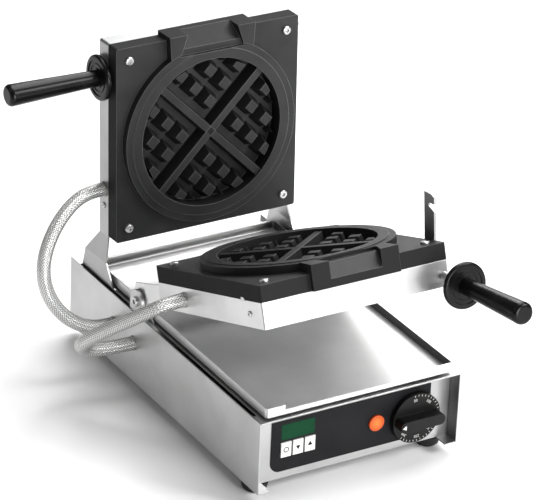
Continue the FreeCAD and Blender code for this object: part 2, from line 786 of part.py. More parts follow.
def joggle(body, name, side, bend_at, outer_span, inner_span, outside):
    """The stretch of sheet that steps out from the casing's side to the hinge's plane."""
    root = "plate_length / 2"
    inner = block(f"{side} * ({half_width} - iron_sheet)", f"{side} * {half_width}", *inner_span)
    outer = block(f"{side} * ({outside} - iron_sheet)", f"{side} * {outside}", *outer_span)
    start = sketch(body, name + "_root", "XZ_Plane", f"-({root}) + plate_corner + iron_sheet", [inner])
    flat = sketch(body, name + "_flat", "XZ_Plane", f"-({root})", [inner])
    straight = feature(body, "AdditiveLoft", name + "_tab", start)
    straight.Sections = [flat]
    straight.Ruled = True
    end = sketch(body, name + "_end", "XZ_Plane", f"-({bend_at})", [outer])
    step = feature(body, "AdditiveLoft", name + "_step", flat)
    step.Sections = [end]
    step.Ruled = True


def sheet_plate(body, name, side, outside, loops):
    plan = sketch(body, name + "_plan", "YZ_Plane", f"{side} * {outside}", loops)
    return feature(body, "Pad", name + "_plate", plan, "iron_sheet", Reversed=side > 0)


def around(centre, radius, angle, tilt, rise):
    """A point at a rest angle round the pivot, in an iron's own frame; rise is 1 for the lower iron."""
    y = f"({centre[0]} + {radius} * cos({angle} + {tilt}))"
    z = f"({centre[1]} + {rise} * {radius} * sin({angle} + {tilt}))"
    return y, z


def lower_casing():
    body = doc.addObject("PartDesign::Body", "lower_casing")
    gland = {"x": "plate_length / 2 - lower_gland_place", "y": "-lower_gland_depth",
             "radius": "gland_thread + gland_play"}
    latch_hole = {"x": latch_y, "y": latch_z, "radius": "latch_bolt_radius + screw_play"}
    stop_hole = {"x": latch_stop_y, "y": latch_stop_z, "radius": "latch_stop_radius + screw_play"}
    handle_hole = {"x": "lower_handle_side", "y": "-lower_handle_depth",
                   "radius": "stud_rod_radius + 2 * screw_play"}
    casing_shell(body, "lower", [("YZ_Plane", f"-{half_width}", gland), ("YZ_Plane", half_width, latch_hole),
                                 ("YZ_Plane", half_width, stop_hole),
                                 ("XZ_Plane", "plate_length / 2", handle_hole)])
    centre_y, centre_z = lower_pivot
    bend = f"({centre_y} - ear_bend)"
    top = f"({centre_z} + ear_top)"
    low = f"({centre_z} - ear_radius / 2)"
    heel = "(pivot_rise - wall_height - heel_play)"
    heel_y = f"({centre_y} + {heel} * sin(lower_tilt))"
    heel_z = f"({centre_z} - {heel} * cos(lower_tilt))"
    toe_y = f"({heel_y} - heel_length * cos(lower_tilt))"
    toe_z = f"({heel_z} - heel_length * sin(lower_tilt))"
    for side, tag in ((-1, "left"), (1, "right")):
        name = f"lower_ear_{tag}"
        joggle(body, name, side, bend, (low, top), (low, top), ear_outside)
        outline = [(bend, top), (f"{centre_y} + ear_back", top), (f"{centre_y} + ear_radius", centre_z),
                   (heel_y, heel_z), (toe_y, toe_z), (bend, low)]
        sheet_plate(body, name, side, ear_outside, [outline])
        sheet_plate(body, name + "_lobe", side, ear_outside,
                    [{"x": centre_y, "y": centre_z, "radius": "ear_radius"}])
        holes = [{"x": centre_y, "y": centre_z, "radius": pivot_hole},
                 {"x": stop_y, "y": stop_z, "radius": "stop_radius + screw_play"}]
        bore = sketch(body, name + "_holes", "YZ_Plane", f"{side} * {ear_outside}", holes)
        feature(body, "Pocket", name + "_bores", bore, "6 * iron_sheet", Midplane=True)
    keep(body, "lower_casing", lower_pose)


def upper_casing():
    body = doc.addObject("PartDesign::Body", "upper_casing")
    gland = {"x": "plate_length / 2 - upper_gland_place", "y": "-upper_gland_depth",
             "radius": "gland_thread + gland_play"}
    handle_hole = {"x": "plate_length / 2 - upper_handle_place", "y": "-upper_handle_depth",
                   "radius": "stud_rod_radius + 2 * screw_play"}
    casing_shell(body, "upper", [("YZ_Plane", half_width, gland), ("YZ_Plane", half_width, handle_hole)])
    centre_y, centre_z = upper_pivot
    bend = f"({centre_y} - arm_bend)"

    def up(height):
        return f"({centre_z} - ({height}))"

    tilt = "(lower_tilt + opening)"
    tooth_start = "(stop_angle * 1 deg + asin((stop_radius + stop_play) / stop_reach))"
    tooth_end = f"({tooth_start} + tooth_sweep * 1 deg)"
    tooth = [around(upper_pivot, radius, angle, f"{tilt} * 1 deg", -1)
             for radius, angle in (("tooth_low", tooth_start), ("tooth_high", tooth_start),
                                   ("tooth_high", tooth_end), ("tooth_low", tooth_end))]
    for side, tag in ((-1, "left"), (1, "right")):
        name = f"upper_arm_{tag}"
        joggle(body, name, side, bend, (up("arm_kink_high"), up("arm_kink_low")),
               (casing_low["upper"], "-plate_thick"), arm_outside)
        outline = [(bend, up("arm_kink_low")), (f"{centre_y} + arm_neck", up("arm_waist_low")),
                   (f"{centre_y} + arm_neck", up("arm_radius")), (centre_y, up("arm_radius")),
                   (f"{centre_y}", f"({centre_z} + arm_radius)"), (f"{centre_y} + arm_radius", centre_z),
                   (f"{centre_y} + arm_back", up("arm_back")),
                   (f"{centre_y} + arm_back", up("arm_back_rise")),
                   (f"{centre_y} + arm_neck", up("arm_back_high")), (bend, up("arm_kink_high"))]
        sheet_plate(body, name, side, arm_outside, [outline])
        sheet_plate(body, name + "_lobe", side, arm_outside,
                    [{"x": centre_y, "y": centre_z, "radius": "arm_radius"}])
        sheet_plate(body, name + "_tooth", side, arm_outside, [tooth])
        bore = sketch(body, name + "_hole", "YZ_Plane", f"{side} * {arm_outside}",
                      [{"x": centre_y, "y": centre_z, "radius": pivot_hole}])
        feature(body, "Pocket", name + "_bore", bore, "6 * iron_sheet", Midplane=True)
    keep(body, "upper_casing", upper_pose)


stop_y, stop_z = around(lower_pivot, "stop_reach", "stop_angle", "lower_tilt", 1)
lower_casing()
upper_casing()
stop_length = f"({arm_outside} - {ear_inside})"
stops = [rod("stop_left", "stop_radius", stop_length, (f"-{arm_outside}", stop_y, stop_z), along_x),
         rod("stop_right", "stop_radius", stop_length, (ear_inside, stop_y, stop_z), along_x)]
keep(group("opening_stops", stops), "opening_stops", lower_pose)


def iron_fillings(iron, pose):
    """Heating element, wool pad and plate screws of one iron."""
    heater_z = "(-plate_thick - heater_play - heater_tube)"
    heater = doc.addObject("Part::Torus", iron + "_element")
    tie(heater, Radius1="heater_radius", Radius2="heater_tube")
    heater.setExpression("Placement", bound(f"{pose} * {spot('0', '0', heater_z)}"))
    keep(heater, iron + "_heating_element")
    low = casing_low[iron]
    reach_x = f"({half_width} - iron_sheet - wool_play)"
    reach_y = "(plate_length / 2 - iron_sheet - wool_play)"
    wool_top = f"({heater_z} - heater_tube - heater_play)"
    wool = box(iron + "_wool", (f"-{reach_x}", f"-{reach_y}", f"{low} + iron_sheet"),
               (reach_x, reach_y, wool_top))
    corners = [(f"{i} * screw_side", f"{j} * screw_end") for i in (-1, 1) for j in (-1, 1)]
    rooms = [clear_rod(f"{iron}_passage_{i}", "screw_radius", f"{iron}_casing_height", (x, y, low))
             for i, (x, y) in enumerate(corners)]
    side, inward = ("-", along_x) if iron == "lower" else ("", against_x)
    gland_at = (f"{side}{half_width}", f"plate_length / 2 - {iron}_gland_place", f"-{iron}_gland_depth")
    rooms.append(clear_rod(f"{iron}_gland_room", "gland_thread", "4 * gland_tail", gland_at, inward))
    stud_at = ("lower_handle_side", "-plate_length / 2", "-lower_handle_depth")
    if iron == "upper":
        stud_at = (half_width, "plate_length / 2 - upper_handle_place", "-upper_handle_depth")
    rooms.append(clear_rod(f"{iron}_stud_room", "nut_radius", "stud_rod_bury", stud_at,
                           along_y if iron == "lower" else against_x))
    if iron == "lower":
        rooms.append(clear_rod("lower_latch_room", "latch_bolt_head", "latch_pin_bury",
                               (half_width, latch_y, latch_z), against_x))
    keep(cut(iron + "_wool_pad", wool, rooms), iron + "_insulation", pose)
    screws = []
    for i, (x, y) in enumerate(corners):
        shank = rod(f"{iron}_screw_shank_{i}", "screw_radius", f"-{low}", (x, y, low))
        head = rod(f"{iron}_screw_head_{i}", "screw_head_radius", "screw_head_height", (x, y, "0"))
        screws.append(fuse(f"{iron}_screw_{i}", [shank, head]))
    keep(group(iron + "_plate_screws", screws), iron + "_plate_screws", pose)


def clear_rod(name, radius, length, start, turn=None):
    return rod(name, f"{radius} + wool_play", length, start, turn)


iron_fillings("lower", lower_pose)
iron_fillings("upper", upper_pose)

# Handles: each is a threaded rod with a guard disc, a grip and a nut inside the casing


def handle(name, pose, stem, lift):
    """Built along +Z from the outside of the casing's wall, and placed by pose."""
    guard_low = stem
    guard_high = f"({stem} + guard_thick)"
    grip_end = f"({guard_high} + grip_length)"
    hole = "(stud_rod_radius + stud_rod_play)"
    disc = revolved(name + "_guard", pose, [(hole, guard_low), ("guard_radius", guard_low),
                                            ("guard_radius", guard_high), (hole, guard_high)])
    rim = value("2 * pi * guard_radius")
    rounded(disc, name + "_guard_rim", "guard_round", lambda e: near(e.Length, rim))
    keep(disc, f"{name}_handle_guard")
    bury = f"({guard_high} + stud_rod_bury)"
    seat = f"{bury} + stud_rod_play"
    cone = revolved(name + "_grip", pose, [(hole, guard_high), ("grip_root_radius", guard_high),
                                           ("grip_tip_radius", grip_end), ("0", grip_end),
                                           ("0", seat), (hole, seat)])
    edge = value("2 * pi * grip_tip_radius")
    rounded(cone, name + "_grip_tip", "grip_round", lambda e: near(e.Length, edge))
    keep(cone, f"{name}_handle_grip")
    wall = f"(iron_sheet + {lift})"
    inner = f"(-{wall} - nut_height - stud_rod_radius)"
    shaft = [("0", inner), ("stud_rod_radius", inner), ("stud_rod_radius", lift), ("nut_radius", lift),
             ("nut_radius", guard_low), ("stud_rod_radius", guard_low), ("stud_rod_radius", bury),
             ("0", bury)]
    keep(revolved(name + "_rod", pose, shaft), f"{name}_handle_rod")
    nut = block(hole, "nut_radius", f"-{wall} - nut_height", f"-{wall}")
    keep(revolved(name + "_nut", pose, nut), f"{name}_handle_nut")


upper_handle_spot = spot(half_width, "plate_length / 2 - upper_handle_place", "-upper_handle_depth", along_x)
handle("upper", f"{upper_pose} * {upper_handle_spot}", "upper_stem", "0")
lower_handle_lean = ("1; 0; 0", "90 + lower_handle_drop")
lower_handle_spot = spot("lower_handle_side", "-plate_length / 2", "-lower_handle_depth", lower_handle_lean)
handle("lower", f"{lower_pose} * {lower_handle_spot}", "lower_stem", "lower_handle_lift")

# Latch


def latch_hook():
    body = doc.addObject("PartDesign::Body", "latch_hook")
    half = "latch_width / 2"
    throat = "(latch_pin_radius + latch_throat_play)"
    outline = [(half, f"-{half}"), (half, "latch_rise"),
               ("-latch_throat_fwd - latch_pin_radius", "latch_rise"),
               (f"-{half}", "latch_rise - latch_pin_radius"), (f"-{half}", f"latch_throat_up + {throat}"),
               ("-latch_throat_fwd", f"latch_throat_up + {throat}"),
               ("-latch_throat_fwd", f"latch_throat_up - {throat}"),
               (f"-{half}", f"latch_throat_up - 2 * {throat}"), (f"-{half}", f"-{half}")]
    plan = sketch(body, "hook_plan", "YZ_Plane", f"{half_width} + latch_gap", [outline])
    feature(body, "Pad", "hook_sheet", plan, "latch_sheet")
    eyes = sketch(body, "hook_eyes", "YZ_Plane", f"{half_width} + latch_gap",
                  [{"x": "0", "y": "0", "radius": "latch_bolt_radius + pivot_play"}])
    feature(body, "Pocket", "hook_bore", eyes, "4 * latch_sheet", Midplane=True)
    throat_plan = sketch(body, "throat_round", "YZ_Plane", f"{half_width} + latch_gap",
                         [{"x": "-latch_throat_fwd", "y": "latch_throat_up", "radius": throat}])
    feature(body, "Pocket", "hook_throat", throat_plan, "4 * latch_sheet", Midplane=True)
    pose = f"{lower_pose} * {spot('0', latch_y, latch_z, ('1; 0; 0', 'latch_lean'))}"
    keep(body, "latch_hook", pose)


latch_hook()
bolt_start = f"({half_width} - iron_sheet - latch_head_height)"
latch_outer = f"({half_width} + latch_gap + latch_sheet + side_play)"
latch_shank = rod("latch_shank", "latch_bolt_radius", f"{latch_outer} - {bolt_start}",
                  (bolt_start, latch_y, latch_z), along_x)
latch_collar = rod("latch_collar", "latch_bolt_head", "latch_gap - side_play",
                   (half_width, latch_y, latch_z), along_x)
latch_head = rod("latch_head", "latch_bolt_head", "latch_head_height",
                 (latch_outer, latch_y, latch_z), along_x)
latch_nut = rod("latch_nut", "latch_bolt_head", "latch_head_height", (bolt_start, latch_y, latch_z), along_x)
keep(fuse("latch_bolt", [latch_shank, latch_collar, latch_head, latch_nut]), "latch_bolt", lower_pose)

pin_x, _, pin_depth = latch_pin_place
pin_out = "(latch_gap + latch_sheet + side_play)"
latch_pin = rod("latch_pin_shank", "latch_pin_radius", f"latch_pin_bury + {pin_out}",
                (f"{pin_x} - {pin_out}", pin_y, pin_depth), along_x)
latch_pin_head = rod("latch_pin_cap", "latch_pin_head", "latch_head_height",
                     (f"{pin_x} - {pin_out}", pin_y, pin_depth), against_x)
keep(fuse("latch_pin", [latch_pin, latch_pin_head]), "latch_pin", upper_pose)

latch_stop = rod("latch_stop_pin", "latch_stop_radius", f"{latch_outer} - {half_width} + iron_sheet",
                 (f"{half_width} - iron_sheet", latch_stop_y, latch_stop_z), along_x)
keep(group("latch_stop", [latch_stop]), "latch_stop", lower_pose)

# Glands and conduits


def gland(name, start, turn, wall, pose=""):
    tail = f"(-{wall} - gland_tail)"
    bush = [("0", tail), ("gland_thread", tail), ("gland_thread", "0"), ("gland_radius", "0"),
            ("gland_radius", "gland_length"), ("0", "gland_length")]
    place = spot(*start, turn)
    return revolved(name, f"{pose} * {place}" if pose else place, bush)


wall_glands = [gland(f"wall_gland_{i}", ("-base_width / 2", y, z), against_x, "wall_sheet")
               for i, (y, z) in enumerate(exits)]
keep(group("base_conduit_glands", wall_glands), "base_conduit_glands")
lower_gland_start = (f"-{half_width}", "plate_length / 2 - lower_gland_place", "-lower_gland_depth")
keep(gland("lower_gland", lower_gland_start, against_x, "iron_sheet", lower_pose), "lower_conduit_gland")
upper_gland_start = (half_width, "plate_length / 2 - upper_gland_place", "-upper_gland_depth")
keep(gland("upper_gland", upper_gland_start, along_x, "iron_sheet", upper_pose), "upper_conduit_gland")

mains_tail = "(-wall_sheet - mains_gland_length / 2)"
mains = [("mains_bore", mains_tail), ("gland_thread", mains_tail), ("gland_thread", "0"),
         ("mains_gland_radius", "0"), ("mains_gland_radius", "mains_gland_length / 2"),
         ("(gland_thread + mains_gland_radius) / 2", "mains_gland_length"),
         ("mains_bore", "mains_gland_length")]
mains_spot = spot("mains_gland_x", rear_back, "mains_gland_z", along_y)
keep(revolved("mains_gland", mains_spot, mains), "mains_gland")


def conduit(name, points):
    """A tube of straight runs and tangent arcs through hand-chosen points."""
    corners = [FreeCAD.Vector(*p) for p in points]
    edges = []
    start = corners[0]
    radii = []
    for before, corner, after in zip(corners, corners[1:], corners[2:]):
        a, b = before - corner, after - corner
        shorter = min(a.Length, b.Length)
        a.normalize()
        b.normalize()
        turn = math.pi - a.getAngle(b)
        back = value("conduit_bend_share") * shorter
        radius = back / math.tan(turn / 2)
        middle = (a + b).normalize() * (radius / math.cos(turn / 2) - radius)
        enter, leave = corner + a * back, corner + b * back
        edges.append(Part.LineSegment(start, enter).toShape())
        edges.append(Part.Arc(enter, corner + middle, leave).toShape())
        start = leave
        radii.append(radius)
    edges.append(Part.LineSegment(start, corners[-1]).toShape())
    spine = Part.Wire(edges)
    first = corners[1] - corners[0]
    section = Part.Wire([Part.Circle(corners[0], first, value("conduit_radius")).toShape()])
    tube = spine.makePipeShell([section], True, False)
    expected = math.pi * value("conduit_radius") ** 2 * spine.Length
    print(name, "length", round(spine.Length, 1), "radii", [round(r) for r in radii],
          "volume share", round(tube.Volume / expected, 4))
    item = doc.addObject("Part::Feature", name)
    item.Shape = tube
    item.Placement = FreeCAD.Placement()
    keep(item, name)


def placed_point(pose, start, out):
    """A point of the plate's frame, in the object's frame, moved out along X."""
    place = sheet.evalExpression(bound(pose))
    local = FreeCAD.Vector(*(value(c) for c in start))
    return place.multVec(local) + FreeCAD.Vector(out, 0, 0)


gland_out = value("gland_length")
wall_x = -value("base_width / 2") - gland_out
lower_end = placed_point(lower_pose, lower_gland_start, -gland_out)
upper_end = placed_point(upper_pose, upper_gland_start, -gland_out)
lower_route = [
    (wall_x, value("lower_exit_y"), value("lower_exit_z")),
    (-155, value("lower_exit_y"), value("lower_exit_z")), (-174, 71, 65.6), (-192, 71, 69), (-206, 66, 77.5),
    (-213, 55, 89.5), (-208.5, 39.5, 104.5), (-197, 20.5, 121.5), (-182, 0.5, 139), (-167, -17, 154.5),
    (-149, lower_end.y, lower_end.z), tuple(lower_end)]
upper_route = [
    (wall_x, value("upper_exit_y"), value("upper_exit_z")),
    (-156, value("upper_exit_y"), value("upper_exit_z")), (-176.5, 124.5, 72.5), (-194.5, 128.5, 85),
    (-208, 134, 102), (-216, 139, 121), (-218, 144, 140), (-214.5, 149.5, 158.5), (-204, 156, 179),
    (-188, 162.5, 198), (-169, 167.5, 213.5), (-147, upper_end.y, upper_end.z), tuple(upper_end)]
conduit("lower_conduit", lower_route)
conduit("upper_conduit", upper_route)

# Controls


def key(name, x):
    half_x, half_z = "(key_width / 2)", "(key_height / 2)"
    cap = box(name + "_cap", (f"{x} - {half_x}", f"{fascia_front} - key_proud", f"key_z - {half_z}"),
              (f"{x} + {half_x}", f"{panel_back} + key_flange_thick", f"key_z + {half_z}"))
    rim_x, rim_z = "(key_width / 2 + key_flange)", "(key_height / 2 + key_flange)"
    flange = box(name + "_flange", (f"{x} - {rim_x}", f"{panel_back} + sheet_play", f"key_z - {rim_z}"),
                 (f"{x} + {rim_x}", f"{panel_back} + sheet_play + key_flange_thick", f"key_z + {rim_z}"))
    keep(fuse(name, [cap, flange]), name)


for name, x in zip(("start_key", "down_key", "up_key"), key_places):
    key(name, x)

board_left = "(-key_first_x - key_width / 2 - board_margin)"
board_right = "(-key_first_x + 2 * key_pitch + key_width / 2 + board_margin)"
board_low = "(key_z - key_height / 2 - board_margin)"
board_high = "(display_z + display_height / 2 + board_margin / 2)"
board_front = f"({panel_back} + board_gap)"
board = box("board_sheet", (board_left, board_front, board_low),
            (board_right, f"{board_front} + board_thick", board_high))
switch_front = f"({panel_back} + sheet_play + key_flange_thick + key_travel + key_play)"
switches = [box(f"switch_{i}", (f"{x} - switch_size / 2", switch_front, "key_z - switch_size / 2"),
                (f"{x} + switch_size / 2", board_front, "key_z + switch_size / 2"))
            for i, x in enumerate(key_places)]
keep(fuse("timer_board", [board] + switches), "timer_board")
spacer_inset = "(board_margin / 2)"
spacer_places = [(x, z) for x in (f"{board_left} + {spacer_inset}", f"{board_right} - {spacer_inset}")
                 for z in (f"{board_low} + {spacer_inset}", f"{board_high} - {spacer_inset}")]
spacers = [rod(f"spacer_{i}", spacer_inset + " - key_flange", "board_gap", (x, panel_back, z), along_y)
           for i, (x, z) in enumerate(spacer_places)]
keep(group("board_spacers", spacers), "board_spacers")

thermostat_seat = ("dial_x", panel_back, "dial_z")
thermostat_blank = rod("thermostat_can", "thermostat_radius", "thermostat_depth", thermostat_seat, along_y)
thermostat_bore = rod("thermostat_bore", "shaft_radius + shaft_play", "thermostat_depth / 2",
                      thermostat_seat, along_y)
keep(cut("thermostat", thermostat_blank, [thermostat_bore]), "thermostat")


def dial():
    """A skirt with a raised bar grip, built along +Z and faced forward."""
    pose = spot("dial_x", f"{fascia_front} - dial_gap", "dial_z", against_y)
    body = doc.addObject("PartDesign::Body", "dial_knob")
    skirt = sketch(body, "skirt_outline", "XY_Plane", "0", [{"x": "0", "y": "0", "radius": "dial_radius"}])
    feature(body, "Pad", "skirt", skirt, "dial_thick")
    half_l, half_w = "dial_grip_length / 2", "dial_grip_width / 2"
    grip = block(f"-{half_l}", half_l, f"-{half_w}", half_w)
    bar = sketch(body, "bar_outline", "XY_Plane", "dial_thick", [grip])
    feature(body, "Pad", "bar", bar, "dial_grip_height")
    rounded(body, "bar_ends", "dial_grip_round", upright)
    hole = {"x": "0", "y": "0", "radius": "shaft_radius + shaft_play"}
    bore = sketch(body, "shaft_bore", "XY_Plane", "0", [hole])
    feature(body, "Pocket", "shaft_seat", bore, "dial_thick", Reversed=True)
    keep(body, "dial_knob", pose)
    shaft_end = "(-(dial_gap + fascia_thick + wall_sheet + thermostat_depth / 2 - shaft_hole_play))"
    shaft = [("0", shaft_end), ("shaft_radius", shaft_end), ("shaft_radius", "dial_thick - shaft_play"),
             ("0", "dial_thick - shaft_play")]
    keep(revolved("dial_shaft", pose, shaft), "dial_shaft")


dial()

terminal = box("terminal_block", ("-terminal_width / 2", "-terminal_depth / 2", floor_top),
               ("terminal_width / 2", "terminal_depth / 2", f"{floor_top} + terminal_height"))
keep(terminal, "terminal_block")

# Checks and files

doc.recompute()
for item in doc.Objects:
    if "Invalid" in item.State or "Error" in item.State:
        raise RuntimeError(f"{item.Name} ({item.Label}) failed: {item.State}")
for item in nodes:
    shape = item.Shape
    if shape.isNull() or not shape.isValid() or not shape.Solids:
        raise RuntimeError(f"{item.Label} has no valid solid")

os.makedirs("parts", exist_ok=True)
for item in nodes:
    item.Shape.exportStep(f"parts/{item.Label}.step")
    print(item.Label, len(item.Shape.Solids), "solids", round(item.Shape.Volume / 1000, 2), "cm3")
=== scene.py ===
import json
import math

import bmesh
import bpy
from mathutils import Matrix, Vector


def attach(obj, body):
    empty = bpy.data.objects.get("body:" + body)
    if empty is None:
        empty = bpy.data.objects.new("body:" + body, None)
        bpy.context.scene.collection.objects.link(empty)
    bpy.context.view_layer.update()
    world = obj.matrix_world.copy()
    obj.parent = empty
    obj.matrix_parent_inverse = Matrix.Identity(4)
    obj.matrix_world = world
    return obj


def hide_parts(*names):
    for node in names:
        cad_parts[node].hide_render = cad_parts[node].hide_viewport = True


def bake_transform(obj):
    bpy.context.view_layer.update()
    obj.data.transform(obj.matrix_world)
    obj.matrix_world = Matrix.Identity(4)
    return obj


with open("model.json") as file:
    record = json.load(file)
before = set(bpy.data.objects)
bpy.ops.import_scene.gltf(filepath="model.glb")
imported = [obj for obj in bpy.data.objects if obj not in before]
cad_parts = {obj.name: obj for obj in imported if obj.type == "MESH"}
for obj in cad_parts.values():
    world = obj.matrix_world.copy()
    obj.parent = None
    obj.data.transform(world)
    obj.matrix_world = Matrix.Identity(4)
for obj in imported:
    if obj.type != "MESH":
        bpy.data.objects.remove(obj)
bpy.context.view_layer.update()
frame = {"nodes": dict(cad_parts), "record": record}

nodes = frame["nodes"]
record = frame["record"]
scene = bpy.context.scene
millimetre = 0.001

# In each function s stands for the settings beside it


class Wire:  # a shader socket that takes part in sums
    def __init__(self, tree, socket=None):
        self.tree = tree
        self.socket = socket

    def node(self, kind, inputs, out=0, **settings):  # makes any node
        made = self.tree.nodes.new("ShaderNode" + kind)
        for name, value in settings.items():
            setattr(made, name, value)
        for key, value in inputs.items():
            if isinstance(value, Wire):
                self.tree.links.new(value.socket, made.inputs[key])
            else:
                made.inputs[key].default_value = value
        return Wire(self.tree, made.outputs[out])

    def math(self, operation, *values):
        return self.node("Math", dict(enumerate(values)), operation=operation)

    def __add__(self, other):
        return self.math("ADD", self, other)

    def __sub__(self, other):
        return self.math("SUBTRACT", self, other)

    def __rsub__(self, other):
        return self.math("SUBTRACT", other, self)

    def __mul__(self, other):
        return self.math("MULTIPLY", self, other)

    def __gt__(self, other):
        return self.math("GREATER_THAN", self, other)

    __radd__ = __add__
    __rmul__ = __mul__


# Shared shader patterns

cloudSpan = (0.3, 0.7)  # the stretch of a noise that runs from dark to light
edgeSpan = (0.0, 0.12)  # from a flat face to a worn and highlighted edge, as 1 less the normals' product
edgeSamples = 4


def grey(value):
    return (value, value, value)


def paint(colour):  # a socket stays as it is, three numbers get their alpha
    return colour if isinstance(colour, Wire) else (*colour, 1)


def surface(wire, scale=(1, 1, 1)):  # places on the piece, in metres
    spot = wire.node("TexCoord", {}, out="Object")
    return wire.node("Mapping", {"Vector": spot, "Scale": scale})


def noise(wire, spot, scale, detail=3.0, rough=0.5):
    inputs = {"Vector": spot, "Scale": scale, "Detail": detail, "Roughness": rough}
    return wire.node("TexNoise", inputs)


def blendColour(wire, share, first, second):
    inputs = {0: share, 6: paint(first), 7: paint(second)}
    return wire.node("Mix", inputs, out=2, data_type="RGBA")


def stretch(wire, value, low, high):  # low..high becomes 0..1
    inputs = {"Value": value, "From Min": low, "From Max": high}
    return wire.node("MapRange", inputs)


def mottled(wire, cloud, dark, light):
    return blendColour(wire, stretch(wire, cloud, *cloudSpan), dark, light)


def dot(wire, first, second):
    return wire.node("VectorMath", {0: first, 1: second}, out="Value", operation="DOT_PRODUCT")


def softEdges(wire, radius):
    return wire.node("Bevel", {"Radius": radius}, samples=edgeSamples)


def edgeWear(wire, rounded):  # about 1 along sharp edges, for wear and a painted highlight
    flat = wire.node("NewGeometry", {}, out="True Normal")
    return stretch(wire, 1.0 - dot(wire, rounded, flat), *edgeSpan)


def bump(wire, height, strength, distance, normal=None):
    inputs = {"Height": height, "Strength": strength, "Distance": distance}
    if normal:
        inputs["Normal"] = normal
    return wire.node("Bump", inputs)


def material(name, recipe, **constants):
    made = bpy.data.materials.new(name)
    made.use_nodes = True
    tree = made.node_tree
    shader = tree.nodes["Principled BSDF"]
    for socket, value in recipe(Wire(tree)).items():
        tree.links.new(value.socket, shader.inputs[socket])
    for socket, value in constants.items():
        shader.inputs[socket.replace("_", " ")].default_value = value
    return made


# Brushed sheet and turned steel; the finishes' lengths are in metres

steelSettings = {
    "lines": {"scale": 1.0, "detail": 4.0, "rough": 0.6},
    "linesRough": 0.14,
    "smear": {"scale": 14.0},
    "smearRough": 0.08,
    "edge": 0.0006,
    "bump": (0.06, 0.0002),  # strength and depth
    "innerFrom": 0.1,  # from the middle to where a wall's inner side may lie
}


def innerSides(wire, beyond):  # 1 where a left or right wall faces the middle, where shade is painted
    across = wire.node("SeparateXYZ", {0: surface(wire)}, out="X")
    outward = wire.node("NewGeometry", {}, out="True Normal")
    lean = wire.node("SeparateXYZ", {0: outward}, out="X")
    return (across * lean * -1.0) > beyond


def steel(name, dark, light, grain, rough, metal=1.0, inside=None):  # inside: the painted shade colour on the walls' inner sides
    s = steelSettings

    def recipe(wire):
        lines = noise(wire, surface(wire, grain), **s["lines"])
        smear = noise(wire, surface(wire), **s["smear"])
        colour = mottled(wire, smear, dark, light)
        if inside:
            # painted shade on the inner sides
            colour = blendColour(wire, innerSides(wire, s["innerFrom"]), colour, inside)
        return {
            "Base Color": colour,
            "Roughness": rough + lines * s["linesRough"] + smear * s["smearRough"],
            "Normal": bump(wire, lines, *s["bump"], softEdges(wire, s["edge"])),
        }
    return material(name, recipe, Metallic=metal)


# Cast iron, with edges lightened partly by wear and partly as a painted highlight, and painted shade on
# the grids' flanks and the plates' sides

ironSettings = {
    "sand": {"scale": 900.0, "detail": 4.0, "rough": 0.65},
    "cloud": {"scale": 22.0, "detail": 4.0},
    "dark": (0.007, 0.007, 0.0073),
    "light": (0.018, 0.018, 0.0185),
    "edge": 0.0012,
    # edges lighter partly by wear, partly as a painted highlight
    "wearAndHighlight": grey(0.16),
    "wearAndHighlightShare": 0.9,
    # painted shade: the near-black colour of the grids' flanks and the plates' sides
    "paintedShade": grey(0.002),
    "paintedShadeShare": 0.8,
    "paintedShadeCloud": 0.2,
    "sideShadeShare": 0.8,
    "sideSpan": (0.2, 0.6),  # the lean from a plate's side to its face
    "rough": 0.34,
    "sandRough": 0.12,
    "cloudRough": 0.10,
    "wearAndHighlightRough": 0.1,
    "paintedShadeRough": 0.4,
    "bump": (0.6, 0.0006),
    "specular": 0.30,
}


def plateSides(wire, axis, s):  # painted shade, most on a plate's sides, 0 on its face
    lean = wire.math("ABSOLUTE", dot(wire, wire.node("TexCoord", {}, out="Normal"), axis))
    return s["sideShadeShare"] - s["sideShadeShare"] * stretch(wire, lean, *s["sideSpan"])


def castIron(name, s, axis=None):  # the axis points out of a plate's face, for painted shade on its sides; grids mark their own flanks for painted shade
    def recipe(wire):
        sand = noise(wire, surface(wire), **s["sand"])
        cloud = noise(wire, surface(wire), **s["cloud"])
        soft = softEdges(wire, s["edge"])
        wearAndHighlight = edgeWear(wire, soft)
        if axis:
            paintedShade = plateSides(wire, axis, s)
        else:
            paintedShade = wire.node("Attribute", {}, out="Fac", attribute_name="flankShade")
        body = mottled(wire, cloud, s["dark"], s["light"])
        bright = blendColour(wire, wearAndHighlight * s["wearAndHighlightShare"], body, s["wearAndHighlight"])
        # how much painted shade goes on, with a little cloud in it
        shadeShare = paintedShade * (s["paintedShadeShare"] + cloud * s["paintedShadeCloud"])
        grainy = s["rough"] + sand * s["sandRough"] + cloud * s["cloudRough"]
        return {
            "Base Color": blendColour(wire, shadeShare, bright, s["paintedShade"]),
            "Roughness": grainy - wearAndHighlight * s["wearAndHighlightRough"] + paintedShade * s["paintedShadeRough"],
            "Normal": bump(wire, sand, *s["bump"], soft),
        }
    return material(name, recipe, Specular_IOR_Level=s["specular"])


# Moulded plastic, rubber and board

mouldSettings = {
    "grain": {"scale": 1400.0, "detail": 2.0},
    "grainRough": 0.05,
    "cloud": {"scale": 30.0},
    "cloudRough": 0.10,
    "edge": 0.0008,
    "bump": (0.05, 0.0002),
}


def moulded(name, dark, light, rough, **constants):
    s = mouldSettings

    def recipe(wire):
        grain = noise(wire, surface(wire), **s["grain"])
        cloud = noise(wire, surface(wire), **s["cloud"])
        return {
            "Base Color": mottled(wire, cloud, dark, light),
            "Roughness": rough + cloud * s["cloudRough"] + grain * s["grainRough"],
            "Normal": bump(wire, grain, *s["bump"], softEdges(wire, s["edge"])),
        }
    return material(name, recipe, **constants)


# Woven wire of the conduits

